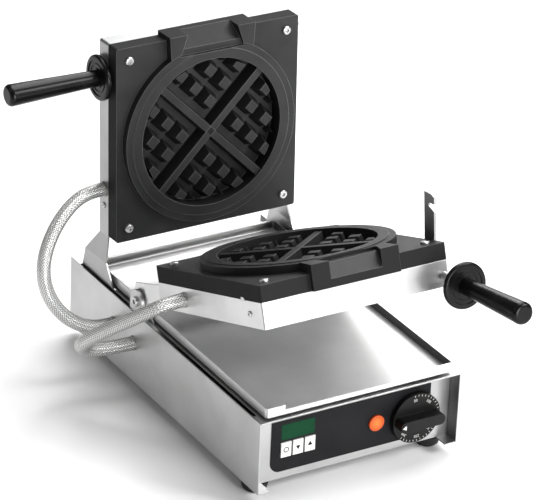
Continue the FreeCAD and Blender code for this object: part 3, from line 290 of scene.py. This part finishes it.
braidSettings = {
    "strands": 16,
    "pitch": 0.0036,
    "fineTurns": 2.0,  # single wires within a strand
    "fineLift": 0.2,
    "gap": grey(0.035),
    "strand": (0.90, 0.90, 0.89),
    "rough": 0.52,
    "polish": 0.20,
    "fineRough": 0.06,
    "metalSpan": (0.0, 0.5),
    "bump": (0.8, 0.0007),
}


def braidedWire(name, s):
    def recipe(wire):
        # The attribute holds the cosine and sine round the tube and the distance along it
        woven = wire.node("Attribute", {}, out="Vector", attribute_name="braid")
        apart = wire.node("SeparateXYZ", {0: woven}).socket.node.outputs
        across, aside, along = (Wire(wire.tree, socket) for socket in apart)
        angle = wire.math("ARCTAN2", aside, across) * s["strands"]
        travel = along * (2 * math.pi / s["pitch"])
        one = wire.math("SINE", (travel + angle) * 0.5)
        two = wire.math("SINE", (travel - angle) * 0.5)
        over = (one * two) > 0.0
        height = wire.math("ABSOLUTE", one) * over + wire.math("ABSOLUTE", two) * (1.0 - over)
        fine = wire.math("ABSOLUTE", wire.math("SINE", (travel + angle) * s["fineTurns"])) * over
        return {
            "Base Color": blendColour(wire, height, s["gap"], s["strand"]),
            "Roughness": s["rough"] - height * s["polish"] + fine * s["fineRough"],
            "Metallic": stretch(wire, height, *s["metalSpan"]),
            "Normal": bump(wire, height + fine * s["fineLift"], *s["bump"]),
        }
    return material(name, recipe)


# Mineral wool inside the irons

woolSettings = {
    "grain": (1, 1, 4),
    "fibre": {"scale": 260.0, "detail": 6.0, "rough": 0.7},
    "dark": (0.55, 0.50, 0.36),
    "light": (0.80, 0.77, 0.66),
    "rough": 0.8,
    "fibreRough": 0.2,
    "bump": (0.7, 0.002),
}


def wool(name, s):
    def recipe(wire):
        fibre = noise(wire, surface(wire, s["grain"]), **s["fibre"])
        return {
            "Base Color": blendColour(wire, fibre, s["dark"], s["light"]),
            "Roughness": s["rough"] + fibre * s["fibreRough"],
            "Normal": bump(wire, fibre, *s["bump"]),
        }
    return material(name, recipe)


# Display window, dimly lit in fine dots

displaySettings = {
    "dots": 900.0,
    "cloud": {"scale": 60.0, "detail": 2.0},
    "cloudShare": 0.3,
    "span": (0.1, 0.8),
    "dark": (0.002, 0.030, 0.012),
    "light": (0.003, 0.060, 0.022),
    "rough": 0.24,
    "cloudRough": 0.06,
    "glow": 0.20,
    "specular": 0.1,
}


def displayGlass(name, s):
    def recipe(wire):
        dots = wire.node("TexVoronoi", {"Vector": surface(wire), "Scale": s["dots"]})
        cloud = noise(wire, surface(wire), **s["cloud"])
        share = stretch(wire, dots + cloud * s["cloudShare"], *s["span"])
        colour = blendColour(wire, share, s["light"], s["dark"])
        return {
            "Base Color": colour,
            "Emission Color": colour,
            "Roughness": s["rough"] + cloud * s["cloudRough"],
        }
    return material(name, recipe, Emission_Strength=s["glow"], Specular_IOR_Level=s["specular"])


# Pilot lamp's lens, with moulded rings and a painted highlight at its centre

lensSettings = {
    "centre": (0.0325, -0.2149, 0.0575),
    "dark": (0.32, 0.030, 0.002),
    "light": (0.80, 0.16, 0.015),
    "rings": 2600.0,  # radians a metre
    "ringShare": 0.4,
    "fall": (0.002, 0.010),  # painted highlight for a domed look, from the centre
    "fallShare": 0.7,
    "rough": 0.16,
    "ringRough": 0.1,
    "bump": (0.5, 0.0004),
    "glow": 0.25,
    "specular": 0.4,
}


def ringedLens(name, s):
    def recipe(wire):
        spot = wire.node("TexCoord", {}, out="Object")
        away = wire.node("VectorMath", {0: spot, 1: s["centre"]}, operation="SUBTRACT")
        flat = wire.node("VectorMath", {0: away, 1: (1, 0, 1)}, operation="MULTIPLY")
        radius = wire.node("VectorMath", {0: flat}, out="Value", operation="LENGTH")
        rings = wire.math("SINE", radius * s["rings"]) * 0.5 + 0.5
        # painted highlight: lighter at the centre, darker towards the rim, for a domed look
        fall = stretch(wire, radius, *s["fall"])
        share = stretch(wire, fall * s["fallShare"] + rings * s["ringShare"], 0.0, 1.0)
        colour = blendColour(wire, share, s["light"], s["dark"])
        return {
            "Base Color": colour,
            "Emission Color": colour,
            "Roughness": s["rough"] + rings * s["ringRough"],
            "Normal": bump(wire, rings, *s["bump"]),
        }
    return material(name, recipe, Emission_Strength=s["glow"], Specular_IOR_Level=s["specular"])


# Finishes by slot

alongY = (900, 9, 900)  # brushing direction, as the scale of its noise
alongX = (9, 900, 900)
turned = (700, 700, 700)
drawn = (300, 300, 300)
finishes = {
    "housing_steel": steel("housingSteel", grey(0.47), grey(0.59), alongY, rough=0.26),
    # the tray's rims get painted shade on their inner sides
    "tray_steel": steel("traySteel", grey(0.60), grey(0.70), alongY, rough=0.22, metal=0.7,
                        inside=grey(0.08)),
    "casing_steel": steel("casingSteel", grey(0.62), grey(0.74), alongX, rough=0.24),
    "latch_steel": steel("latchSteel", grey(0.30), grey(0.42), alongX, rough=0.28),
    "fixing_steel": steel("fixingSteel", grey(0.52), grey(0.66), turned, rough=0.18),
    "gland_metal": steel("glandMetal", (0.42, 0.42, 0.41), (0.56, 0.56, 0.55), turned, rough=0.22),
    "element_steel": steel("elementSteel", (0.20, 0.19, 0.18), (0.34, 0.32, 0.30), drawn, rough=0.40),
    "plate_iron": castIron("plateIron", ironSettings),
    "fascia_black": moulded("fasciaBlack", (0.004, 0.004, 0.005), (0.008, 0.008, 0.009), rough=0.40,
                            Specular_IOR_Level=0.15),
    "key_plastic": moulded("keyPlastic", (0.62, 0.62, 0.60), (0.72, 0.72, 0.70), rough=0.38),
    "knob_plastic": moulded("knobPlastic", grey(0.003), grey(0.006), rough=0.30,
                            Specular_IOR_Level=0.2),
    "handle_plastic": moulded("handlePlastic", grey(0.002), grey(0.005), rough=0.18,
                              Specular_IOR_Level=0.2),
    "inner_plastic": moulded("innerPlastic", grey(0.03), grey(0.05), rough=0.45),
    "board_green": moulded("boardGreen", (0.015, 0.09, 0.035), (0.03, 0.14, 0.06), rough=0.4),
    "foot_rubber": moulded("footRubber", grey(0.006), grey(0.012), rough=0.55,
                           Specular_IOR_Level=0.25),
    "display_glass": displayGlass("displayGlass", displaySettings),
    "lamp_lens": ringedLens("lampLens", lensSettings),
    "braid": braidedWire("braidedWire", braidSettings),
    "wool": wool("mineralWool", woolSettings),
}


def dress(node, finish):
    nodes[node].data.materials.clear()
    nodes[node].data.materials.append(finish)


for part in record["subparts"]:
    dress(part["node"], finishes[part["material_slot"]])
# painted shade on the side walls' inner faces
wallSteelShadedInside = steel("wallSteelShadedInside", grey(0.47), grey(0.59), alongY, rough=0.26, inside=grey(0.11))
for side in ("left", "right"):
    dress("side_wall_" + side, wallSteelShadedInside)
shadedCasing = steel("shadedCasing", grey(0.34), grey(0.45), alongX, rough=0.26)
dress("upper_casing", shadedCasing)  # painted shade: the raised casing gets a darker copy of the casing steel
print("materials", len(finishes))


# Camera at the photograph's viewing angle

cameraSettings = {
    "eye": (-1957.5, -3217.7, 2105.5),
    "right": (0.86260, -0.50445, 0.03806),
    "up": (0.19953, 0.40840, 0.89073),
    "back": (-0.46487, -0.76075, 0.45294),
    "lens": 238.16,
    "sensor": 36,
    "clip": (0.1, 100),  # metres
}


def makeCamera(s):
    lens = bpy.data.cameras.new("photoCamera")
    lens.sensor_width = s["sensor"]
    lens.lens = s["lens"]
    lens.clip_start, lens.clip_end = s["clip"]
    eye = bpy.data.objects.new("photoCamera", lens)
    scene.collection.objects.link(eye)
    axes = Matrix((s["right"], s["up"], s["back"])).transposed().to_4x4()
    eye.matrix_world = Matrix.Translation(Vector(s["eye"]) * millimetre) @ axes
    scene.camera = eye


makeCamera(cameraSettings)


# Floor and studio light, with places and sizes in metres

floorSettings = {
    "size": 60,
    "cloud": {"scale": 3.0, "detail": 2.0},
    "dark": grey(0.86),
    "light": grey(0.90),
    "rough": 0.7,
    "cloudRough": 0.1,
}
lampSettings = {
    "keyLight": {"from": (2.2, -2.2, 2.4), "size": (1.4, 1.4), "power": 105},
    "frontLight": {"from": (0.2, -3.2, 0.7), "size": (1.4, 1.4), "power": 85},
    "leftLight": {"from": (-2.6, 0.6, 2.4), "size": (1.6, 1.6), "power": 10},
    "topLight": {"from": (0.9, 0.6, 2.8), "size": (2.2, 2.2), "power": 100},
    # These two are mirrored in the tray's right half and in the upright casing's end
    "trayLight": {"from": (0.75, 0.74, 0.65), "size": (0.4, 0.4), "power": 2.0},
    "backLight": {"from": (0.70, 1.27, 1.15), "size": (0.5, 0.25), "power": 4.5},
}
lampAim = (0, 0, 0.2)
worldSettings = {"colour": grey(0.9), "strength": 0.18}


def makeFloor(s):
    bpy.ops.object.select_all(action="DESELECT")
    bpy.ops.mesh.primitive_plane_add(size=s["size"])
    floor = bpy.context.object
    floor.name = "studioFloor"

    def recipe(wire):
        cloud = noise(wire, surface(wire), **s["cloud"])
        return {
            "Base Color": blendColour(wire, cloud, s["dark"], s["light"]),
            "Roughness": s["rough"] + cloud * s["cloudRough"],
        }
    floor.data.materials.append(material("studioFloor", recipe))


def makeLights(lamps, aim):
    for name, s in lamps.items():
        lamp = bpy.data.lights.new(name, "AREA")
        lamp.shape = "RECTANGLE"
        lamp.size, lamp.size_y = s["size"]
        lamp.energy = s["power"]
        holder = bpy.data.objects.new(name, lamp)
        scene.collection.objects.link(holder)
        holder.location = s["from"]
        holder.visible_camera = False
        ahead = Vector(aim) - Vector(s["from"])
        holder.rotation_euler = ahead.to_track_quat("-Z", "Y").to_euler()


def makeWorld(s):
    world = bpy.data.worlds.new("studioWorld")
    world.use_nodes = True
    background = world.node_tree.nodes["Background"]
    background.inputs["Color"].default_value = paint(s["colour"])
    background.inputs["Strength"].default_value = s["strength"]
    scene.world = world


makeFloor(floorSettings)
makeLights(lampSettings, lampAim)
makeWorld(worldSettings)
scene.view_settings.view_transform = "Standard"
print("camera, floor and lights")


# Conduits: braided sleeves on the routes of the CAD tubes

conduitSettings = {
    "radius": 8.5,
    "sides": 8,  # per quarter turn
    "order": 3,  # of the smooth line
    "steps": 10,  # along the line, per point
    "smooth": 35,
    "lower": [(-137, 70, 65), (-155, 70, 65), (-174, 71, 65.6), (-192, 71, 69), (-206, 66, 77.5),
              (-213, 55, 89.5), (-208.5, 39.5, 104.5), (-197, 20.5, 121.5), (-182, 0.5, 139),
              (-167, -17, 154.5), (-149, -30.31, 168.22), (-126, -30.31, 168.22)],
    "upper": [(-137, 121, 66.5), (-156, 121, 66.5), (-176.5, 124.5, 72.5), (-194.5, 128.5, 85),
              (-208, 134, 102), (-216, 139, 121), (-218, 144, 140), (-214.5, 149.5, 158.5),
              (-204, 156, 179), (-188, 162.5, 198), (-169, 167.5, 213.5), (-147, 170.04, 223.54),
              (-126, 170.04, 223.54)],
    "upperSplit": 6,  # the base's half ends midway before this point
}


def routeLine(name, points, s):  # the curve and the smooth line itself, as points
    curve = bpy.data.curves.new(name, "CURVE")
    curve.dimensions = "3D"
    curve.resolution_u = s["steps"]
    spline = curve.splines.new("NURBS")
    spline.points.add(len(points) - 1)
    for point, spot in zip(spline.points, points):
        point.co = (*(Vector(spot) * millimetre), 1)
    spline.order_u = s["order"]
    spline.use_endpoint_u = True
    holder = bpy.data.objects.new(name, curve)
    scene.collection.objects.link(holder)
    bpy.context.view_layer.update()
    mesh = bpy.data.meshes.new_from_object(holder)
    line = [v.co.copy() for v in mesh.vertices]
    bpy.data.meshes.remove(mesh)
    return holder, line


def tubeMesh(name, points, s):
    holder, line = routeLine(name, points, s)
    holder.data.bevel_depth = s["radius"] * millimetre
    holder.data.bevel_resolution = s["sides"]
    holder.data.use_fill_caps = True
    bpy.ops.object.select_all(action="DESELECT")
    holder.select_set(True)
    bpy.context.view_layer.objects.active = holder
    bpy.ops.object.convert(target="MESH")
    tube = bpy.context.object
    bpy.ops.object.shade_smooth_by_angle(angle=math.radians(s["smooth"]))
    return tube, line


def storeBraid(tube, line):  # cosine and sine round the tube, and the distance along the whole route
    steps = [b - a for a, b in zip(line, line[1:])]
    travelled = [0.0]
    for step in steps:
        travelled.append(travelled[-1] + step.length)
    side = steps[0].orthogonal().normalized()
    sides = []
    for step in steps + steps[-1:]:
        ahead = step.normalized()
        side = (side - ahead * side.dot(ahead)).normalized()
        sides.append((side.copy(), ahead.cross(side), ahead))
    braid = tube.data.attributes.new("braid", "FLOAT_VECTOR", "POINT")
    for vertex in tube.data.vertices:
        near = min(range(len(line)), key=lambda i: (vertex.co - line[i]).length_squared)
        out = vertex.co - line[near]
        across, aside, ahead = sides[near]
        flat = Vector((out.dot(across), out.dot(aside))).normalized()
        braid.data[vertex.index].vector = (flat.x, flat.y, travelled[near] + out.dot(ahead))


def conduit(name, points, route, s):  # the route is the whole conduit's, for the braid
    tube, line = tubeMesh(name, points, s)
    holder, whole = routeLine("route", route, s)
    bpy.data.objects.remove(holder)
    storeBraid(tube, whole)
    length = sum((b - a).length for a, b in zip(line, line[1:]))
    tube.data.materials.append(finishes["braid"])
    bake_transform(tube)
    return tube


def makeConduits(s):
    lower = conduit("lowerConduit", s["lower"], s["lower"], s)
    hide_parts("lower_conduit")
    route, cut = s["upper"], s["upperSplit"]
    middle = tuple((Vector(route[cut - 1]) + Vector(route[cut])) / 2)  # where the line touches this leg
    near = conduit("upperConduitNear", route[:cut] + [middle], route, s)
    far = conduit("upperConduitFar", [middle] + route[cut:], route, s)
    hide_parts("upper_conduit")
    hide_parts("upper_conduit")


makeConduits(conduitSettings)
print("conduits")


# Modelling steps that the small pieces share, with sizes in millimetres

hair = 1e-6  # metres of slack when edges are picked by their place
squareOn = 0.999  # the lean past which a face counts as level
origin = (0, 0, 0)


def startPiece(name, add, **size):  # a primitive in edit mode; lengths are given as floats, counts aren't
    bpy.ops.object.select_all(action="DESELECT")
    scaled = {key: value * millimetre for key, value in size.items() if isinstance(value, float)}
    add(**{**size, **scaled})
    piece = bpy.context.object
    piece.name = name
    bpy.ops.object.mode_set(mode="EDIT")
    bpy.ops.mesh.select_all(action="SELECT")
    return piece


def lift(height):  # moves what is selected up
    bpy.ops.transform.translate(value=(0, 0, height * millimetre))


def extrude(height):
    bpy.ops.mesh.extrude_region_move(TRANSFORM_OT_translate={"value": (0, 0, height * millimetre)})


def inset(width):
    bpy.ops.mesh.inset(thickness=width * millimetre)


def soften(width, segments):
    bpy.ops.mesh.bevel(offset=width * millimetre, segments=segments, affect="EDGES")


def pick(piece, kind, choose):  # selects faces or edges by their place
    bpy.ops.mesh.select_mode(type=kind)
    bpy.ops.mesh.select_all(action="DESELECT")
    mesh = bmesh.from_edit_mesh(piece.data)
    for item in mesh.faces if kind == "FACE" else mesh.edges:
        if choose(item):
            item.select_set(True)
    bmesh.update_edit_mesh(piece.data)


def facesUp(face):
    return face.normal.z > squareOn


def facesDown(face):
    return face.normal.z < -squareOn


def leaveEdit():
    bpy.ops.object.mode_set(mode="OBJECT")


def endPiece(piece, slot, smooth=35):
    leaveEdit()
    bpy.ops.object.shade_smooth_by_angle(angle=math.radians(smooth))
    piece.data.materials.append(finishes[slot])


def combine(piece, tool, operation):  # a boolean that uses the tool up
    modifier = piece.modifiers.new("combine", "BOOLEAN")
    modifier.object = tool
    modifier.operation = operation
    bpy.ops.object.select_all(action="DESELECT")
    piece.select_set(True)
    bpy.context.view_layer.objects.active = piece
    bpy.ops.object.modifier_apply(modifier=modifier.name)
    bpy.data.objects.remove(tool)


def join(name, pieces):
    bpy.ops.object.select_all(action="DESELECT")
    for piece in pieces:
        piece.select_set(True)
    bpy.context.view_layer.objects.active = pieces[0]
    if len(pieces) > 1:
        bpy.ops.object.join()
    pieces[0].name = name
    return pieces[0]


def copies(name, model, matrices):  # one piece of several copies, each with its own mesh
    made = []
    for matrix in matrices:
        twin = model.copy()
        twin.data = model.data.copy()
        twin.data.transform(matrix)
        scene.collection.objects.link(twin)
        made.append(twin)
    return join(name, made)


def setOut(name, model, matrices):  # the model goes when its copies are made
    made = copies(name, model, matrices)
    bpy.data.objects.remove(model)
    return made


def shift(x, y, z):
    return Matrix.Translation(Vector((x, y, z)) * millimetre)


def turn(degrees, axis):
    return Matrix.Rotation(math.radians(degrees), 4, axis)


def carried(piece, body):
    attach(piece, body)


# Each iron's own frame: the plate's face up at zero, its front towards -Y

hingeSettings = {
    "pivot": (0, 67, 122.2),
    "tilt": 19.55,
    "opening": 72.58,
    "plateBack": 170.5,
    "lowerRise": 45.8,
    "upperRise": 68.2,
}


def ironFrame(s, iron):
    upper = iron == "upper"
    tilt = s["tilt"] + (s["opening"] if upper else 0)
    seat = shift(*s["pivot"]) @ turn(-tilt, "X") @ shift(0, -s["plateBack"], s[iron + "Rise"])
    return seat @ turn(180, "Y") if upper else seat


ironFrames = {iron: ironFrame(hingeSettings, iron) for iron in ("lower", "upper")}
for iron, ironPlace in ironFrames.items():  # painted shade: the plates' sides are darker than their faces
    faceAxis = tuple(ironPlace.to_3x3().col[2])
    dress(iron + "_baking_plate", castIron(iron + "PlateIron", ironSettings, faceAxis))


# Screws with a domed head and a hexagon socket

screwSettings = {
    "plate": {"head": 5.5, "height": 3.2, "round": 1.6, "socket": 2.7, "depth": 1.9, "shank": 3.0},
    "casing": {"head": 3.6, "height": 1.8, "round": 0.9, "socket": 1.7, "depth": 1.1, "shank": 1.5},
    "sides": 40,
    "socketSides": 6,
    "roundSteps": 5,
    "plateSpot": (107, 108),  # across and along from the plate's middle
    "plateShank": {"lower": 51.0, "upper": 42.0},
    "casingShank": 2.0,
    "casingSpot": {"lower": (-124, -95.4, -35.2), "upper": (124, 86.4, -31.0)},
    "casingTurn": {"lower": -90, "upper": 90},
}


def screw(s, kind, length):
    size = s[kind]
    piece = startPiece("screw", bpy.ops.mesh.primitive_cylinder_add,
                       vertices=s["sides"], radius=size["head"], depth=size["height"])
    lift(size["height"] / 2)
    top = size["height"] * millimetre - hair
    pick(piece, "EDGE", lambda e: all(v.co.z > top for v in e.verts))
    soften(size["round"], s["roundSteps"])
    pick(piece, "FACE", facesDown)
    inset(size["head"] - size["shank"])
    extrude(-length)
    endPiece(piece, "fixing_steel")
    key = startPiece("key", bpy.ops.mesh.primitive_cylinder_add,
                     vertices=s["socketSides"], radius=size["socket"], depth=2 * size["depth"])
    lift(size["height"])  # half of the key stays above the head
    leaveEdit()
    combine(piece, key, "DIFFERENCE")
    return piece


def makeScrews(s):
    x, y = s["plateSpot"]
    corners = [shift(i * x, j * y, 0) for i in (-1, 1) for j in (-1, 1)]
    for iron, ironPlace in ironFrames.items():
        model = screw(s, "plate", s["plateShank"][iron])
        heads = setOut(iron + "PlateScrews", model, [ironPlace @ corner for corner in corners])
        carried(heads, iron + "_iron")
        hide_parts(iron + "_plate_screws")
        model = screw(s, "casing", s["casingShank"])
        spot = shift(*s["casingSpot"][iron]) @ turn(s["casingTurn"][iron], "Y")
        small = setOut(iron + "CasingScrew", model, [ironPlace @ spot])
        carried(small, iron + "_iron")


makeScrews(screwSettings)
print("screws")


# Waffle grids: cross bars and studs with softened edges, the studs cut short of the cavity's wall

gridSettings = {
    "floor": -9.0,
    "bar": {"base": 14.0, "top": 9.5, "height": 17.0, "reach": 94.4},
    "barLength": 2.2,  # in reaches, to stand out on both sides before the cut
    "stud": {"base": 22.5, "top": 13.0, "height": 15.5, "reach": 90.0},
    "studRow": 3,  # studs along each side of a quarter, which lacks its outer corner
    "pitch": 28.0,
    "first": 26.8,
    "diagonal": 45,
    "soften": 0.7,
    "softenSteps": 3,
    "smooth": 12,
    "bowlSides": 192,
    "bowlDepth": 4,  # in heights of what is cut
    "steep": 0.5,  # faces with less upward lean than this are flanks, which get painted shade
}


def taperedBlock(s, size, length):  # stands on zero, its long side along X
    piece = startPiece("block", bpy.ops.mesh.primitive_cube_add, size=1.0)
    lift(0.5)  # half of the unit cube
    bpy.ops.transform.resize(value=(length, size["base"], size["height"]), center_override=origin)
    pick(piece, "FACE", facesUp)
    narrow = size["top"] / size["base"]
    ends = narrow if length == size["base"] else 1  # a long bar keeps its length
    bpy.ops.transform.resize(value=(ends, narrow, 1), center_override=origin)
    pick(piece, "EDGE", lambda e: any(v.co.z > hair for v in e.verts))
    soften(s["soften"], s["softenSteps"])
    endPiece(piece, "plate_iron", s["smooth"])
    return piece


def cutRound(s, piece, size):  # keeps what lies inside the cavity
    bowl = startPiece("bowl", bpy.ops.mesh.primitive_cylinder_add, vertices=s["bowlSides"],
                      radius=size["reach"], depth=s["bowlDepth"] * size["height"])
    leaveEdit()
    combine(piece, bowl, "INTERSECT")


def gridModel(s):
    bar, stud = s["bar"], s["stud"]
    model = taperedBlock(s, bar, s["barLength"] * bar["reach"])
    angles = (s["diagonal"], s["diagonal"] + 90)
    bars = [copies("bar", model, [turn(angle, "Z")]) for angle in angles]
    bpy.data.objects.remove(model)
    for piece in bars:
        cutRound(s, piece, bar)
    row = range(s["studRow"])
    cells = [(i, j) for i in row for j in row if i + j < 2 * row[-1]]
    spots = [(a * (s["first"] + i * s["pitch"]), b * (s["first"] + j * s["pitch"]), 0)
             for i, j in cells for a in (-1, 1) for b in (-1, 1)]
    diagonal = turn(s["diagonal"], "Z")
    model = taperedBlock(s, stud, stud["base"])
    studs = setOut("studs", model, [diagonal @ shift(*spot) for spot in spots])
    cutRound(s, studs, stud)
    return join("grid", [*bars, studs])


# The flanks are marked for painted shade in the cast iron's colour
def markFlanks(piece, steep):
    flankShade = piece.data.attributes.new("flankShade", "FLOAT", "FACE")
    for face in piece.data.polygons:
        flankShade.data[face.index].value = 1.0 if abs(face.normal.z) < steep else 0.0


def makeGrids(s):
    model = gridModel(s)
    markFlanks(model, s["steep"])
    for iron, ironPlace in ironFrames.items():
        grid = copies(iron + "WaffleGrid", model, [ironPlace @ shift(0, 0, s["floor"])])
        carried(grid, iron + "_iron")
        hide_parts(iron + "_waffle_grid")
    bpy.data.objects.remove(model)


makeGrids(gridSettings)
print("waffle grids")


# Handle guards: moulded discs with a dished face, a raised ring and a boss round the grip

guardSettings = {
    "radius": 28.0,
    "thick": 7.0,
    "sides": 72,
    "round": 2.5,
    "roundSteps": 5,
    "steps": ((3.5, -1.2), (4.0, 0.8), (1.8, -0.8), (4.2, 1.2)),  # inset of the outer face, then its rise
    "smooth": 30,
    "lower": {"spot": (116.2, -125, -38), "turn": (100, "X"), "stem": 40},
    "upper": {"spot": (124, -80, -31), "turn": (90, "Y"), "stem": 3},
}


def guardDisc(s):
    piece = startPiece("disc", bpy.ops.mesh.primitive_cylinder_add,
                       vertices=s["sides"], radius=s["radius"], depth=s["thick"])
    lift(s["thick"] / 2)
    pick(piece, "EDGE", lambda e: abs(e.verts[0].co.z - e.verts[1].co.z) < hair)
    soften(s["round"], s["roundSteps"])
    pick(piece, "FACE", facesUp)
    for width, rise in s["steps"]:
        inset(width)
        extrude(rise)
    endPiece(piece, "handle_plastic", s["smooth"])
    return piece


def makeGuards(s):
    for iron, ironPlace in ironFrames.items():
        its = s[iron]
        spot = shift(*its["spot"]) @ turn(*its["turn"]) @ shift(0, 0, its["stem"])
        guard = setOut(iron + "HandleGuard", guardDisc(s), [ironPlace @ spot])
        carried(guard, iron + "_iron")
        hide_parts(iron + "_handle_guard")


makeGuards(guardSettings)
print("handle guards")


# Small fixing tab over the seam on the lower iron's left side

tabSettings = {"size": (1.4, 7.0, 5.0), "spot": (-124.6, -83.6, -19.0), "soften": 0.4, "softenSteps": 2}


def makeTab(s):
    model = startPiece("tab", bpy.ops.mesh.primitive_cube_add, size=1.0)
    bpy.ops.transform.resize(value=s["size"], center_override=origin)
    soften(s["soften"], s["softenSteps"])
    endPiece(model, "fixing_steel")
    tab = setOut("lowerSeamTab", model, [ironFrames["lower"] @ shift(*s["spot"])])
    carried(tab, "lower_iron")


makeTab(tabSettings)
print("seam tab")


# Rolled hem along the tray's rear rim

hemSettings = {
    "half": 122.0,
    "radius": 4.4,
    "sides": 32,
    "flat": 0.62,  # its depth against its height
    "spot": (0, 182.6, 116.6),
    "round": 1.2,
    "roundSteps": 3,
}


def makeHem(s):
    hem = startPiece("trayHem", bpy.ops.mesh.primitive_cylinder_add,
                     vertices=s["sides"], radius=s["radius"], depth=2 * s["half"])
    bpy.ops.transform.rotate(value=math.pi / 2, orient_axis="Y", center_override=origin)
    bpy.ops.transform.resize(value=(1, s["flat"], 1), center_override=origin)
    end = s["half"] * millimetre - hair
    pick(hem, "EDGE", lambda e: all(abs(v.co.x) > end for v in e.verts))
    soften(s["round"], s["roundSteps"])
    endPiece(hem, "housing_steel")
    hem.data.transform(shift(*s["spot"]))
    carried(hem, "tray")


makeHem(hemSettings)
print("tray hem")


# Raised marks on the dial and the keys: generic numbers, ticks and arrows

markThickness = 0.12


def facing(spot, clockwise=0):  # stands a flat mark up on the front
    return shift(*spot) @ turn(90, "X") @ turn(-clockwise, "Z")


def raiseMark():  # gives a flat mark its thickness
    bpy.ops.mesh.select_all(action="SELECT")
    extrude(markThickness)
    bpy.ops.mesh.select_all(action="SELECT")
    bpy.ops.mesh.normals_make_consistent(inside=False)
    leaveEdit()


def triangle(radius):
    piece = startPiece("triangle", bpy.ops.mesh.primitive_circle_add,
                       vertices=3, radius=radius, fill_type="NGON")
    raiseMark()
    return piece


# Marks of the dial

dialSettings = {
    "centre": (84, -220.1, 54),
    "numbers": (50, 100, 150, 200, 250, 300),
    "firstTurn": -7,  # clockwise from the top
    "stepTurn": 46,
    "numberRadius": 24.2,
    "numberSize": 5.0,
    "ticksBetween": 5,
    "tickRadius": 29.6,
    "tick": (0.55, 2.4),
    "pointerTurn": -90,
    "pointerRadius": 25.0,
    "pointerRise": 15.0,  # it lies on the grip
    "pointer": 3.6,
}


def number(text, size):
    bpy.ops.object.select_all(action="DESELECT")
    bpy.ops.object.text_add()
    made = bpy.context.object
    made.data.body = str(text)
    made.data.size = size * millimetre
    made.data.align_x = "CENTER"
    made.data.align_y = "CENTER"
    made.data.extrude = markThickness / 2 * millimetre
    bpy.ops.object.convert(target="MESH")
    return bpy.context.object


def tick(width, length):
    piece = startPiece("tick", bpy.ops.mesh.primitive_plane_add, size=1.0)
    bpy.ops.transform.resize(value=(width, length, 1))
    raiseMark()
    return piece


def makeDialMarks(s):
    centre = s["centre"]
    marks = []
    for index, text in enumerate(s["numbers"]):
        face = facing(centre, s["firstTurn"] + index * s["stepTurn"])
        spot = face @ shift(0, s["numberRadius"], markThickness / 2)
        marks.append(setOut("number", number(text, s["numberSize"]), [spot]))
    count = (len(s["numbers"]) - 1) * s["ticksBetween"] + 1
    turns = [s["firstTurn"] + i * s["stepTurn"] / s["ticksBetween"] for i in range(count)]
    spots = [facing(centre, clockwise) @ shift(0, s["tickRadius"], 0) for clockwise in turns]
    marks.append(setOut("ticks", tick(*s["tick"]), spots))
    spot = facing(centre, s["pointerTurn"]) @ shift(0, s["pointerRadius"], s["pointerRise"])
    marks.append(setOut("pointer", triangle(s["pointer"]), [spot]))
    dialMarks = join("dialMarks", marks)
    dialMarks.data.materials.clear()
    dialMarks.data.materials.append(finishes["key_plastic"])
    carried(dialMarks, "dial")


makeDialMarks(dialSettings)
print("dial marks")


# Marks of the keys

keySettings = {
    "front": -213.9,
    "height": 53.5,
    "arrows": {"down": (-72.9, 180), "up": (-57.0, 0)},  # place across, turned clockwise
    "arrow": 3.6,
    "ringAcross": -88.8,
    "ringRadius": 3.6,
    "ringWidth": 1.08,
    "ringSides": 32,
}


def ring(s):
    piece = startPiece("ring", bpy.ops.mesh.primitive_circle_add,
                       vertices=s["ringSides"], radius=s["ringRadius"], fill_type="NGON")
    inset(s["ringWidth"])
    bpy.ops.mesh.delete(type="FACE")
    raiseMark()
    return piece


def keyMark(s, name, model, body, across, clockwise=0):
    mark = setOut(name, model, [facing((across, s["front"], s["height"]), clockwise)])
    mark.data.materials.append(finishes["fascia_black"])
    carried(mark, body)


def makeKeyMarks(s):
    for body, (across, clockwise) in s["arrows"].items():
        keyMark(s, body + "Arrow", triangle(s["arrow"]), body, across, clockwise)
    keyMark(s, "startRing", ring(s), "start", s["ringAcross"])


makeKeyMarks(keySettings)
print("key marks")
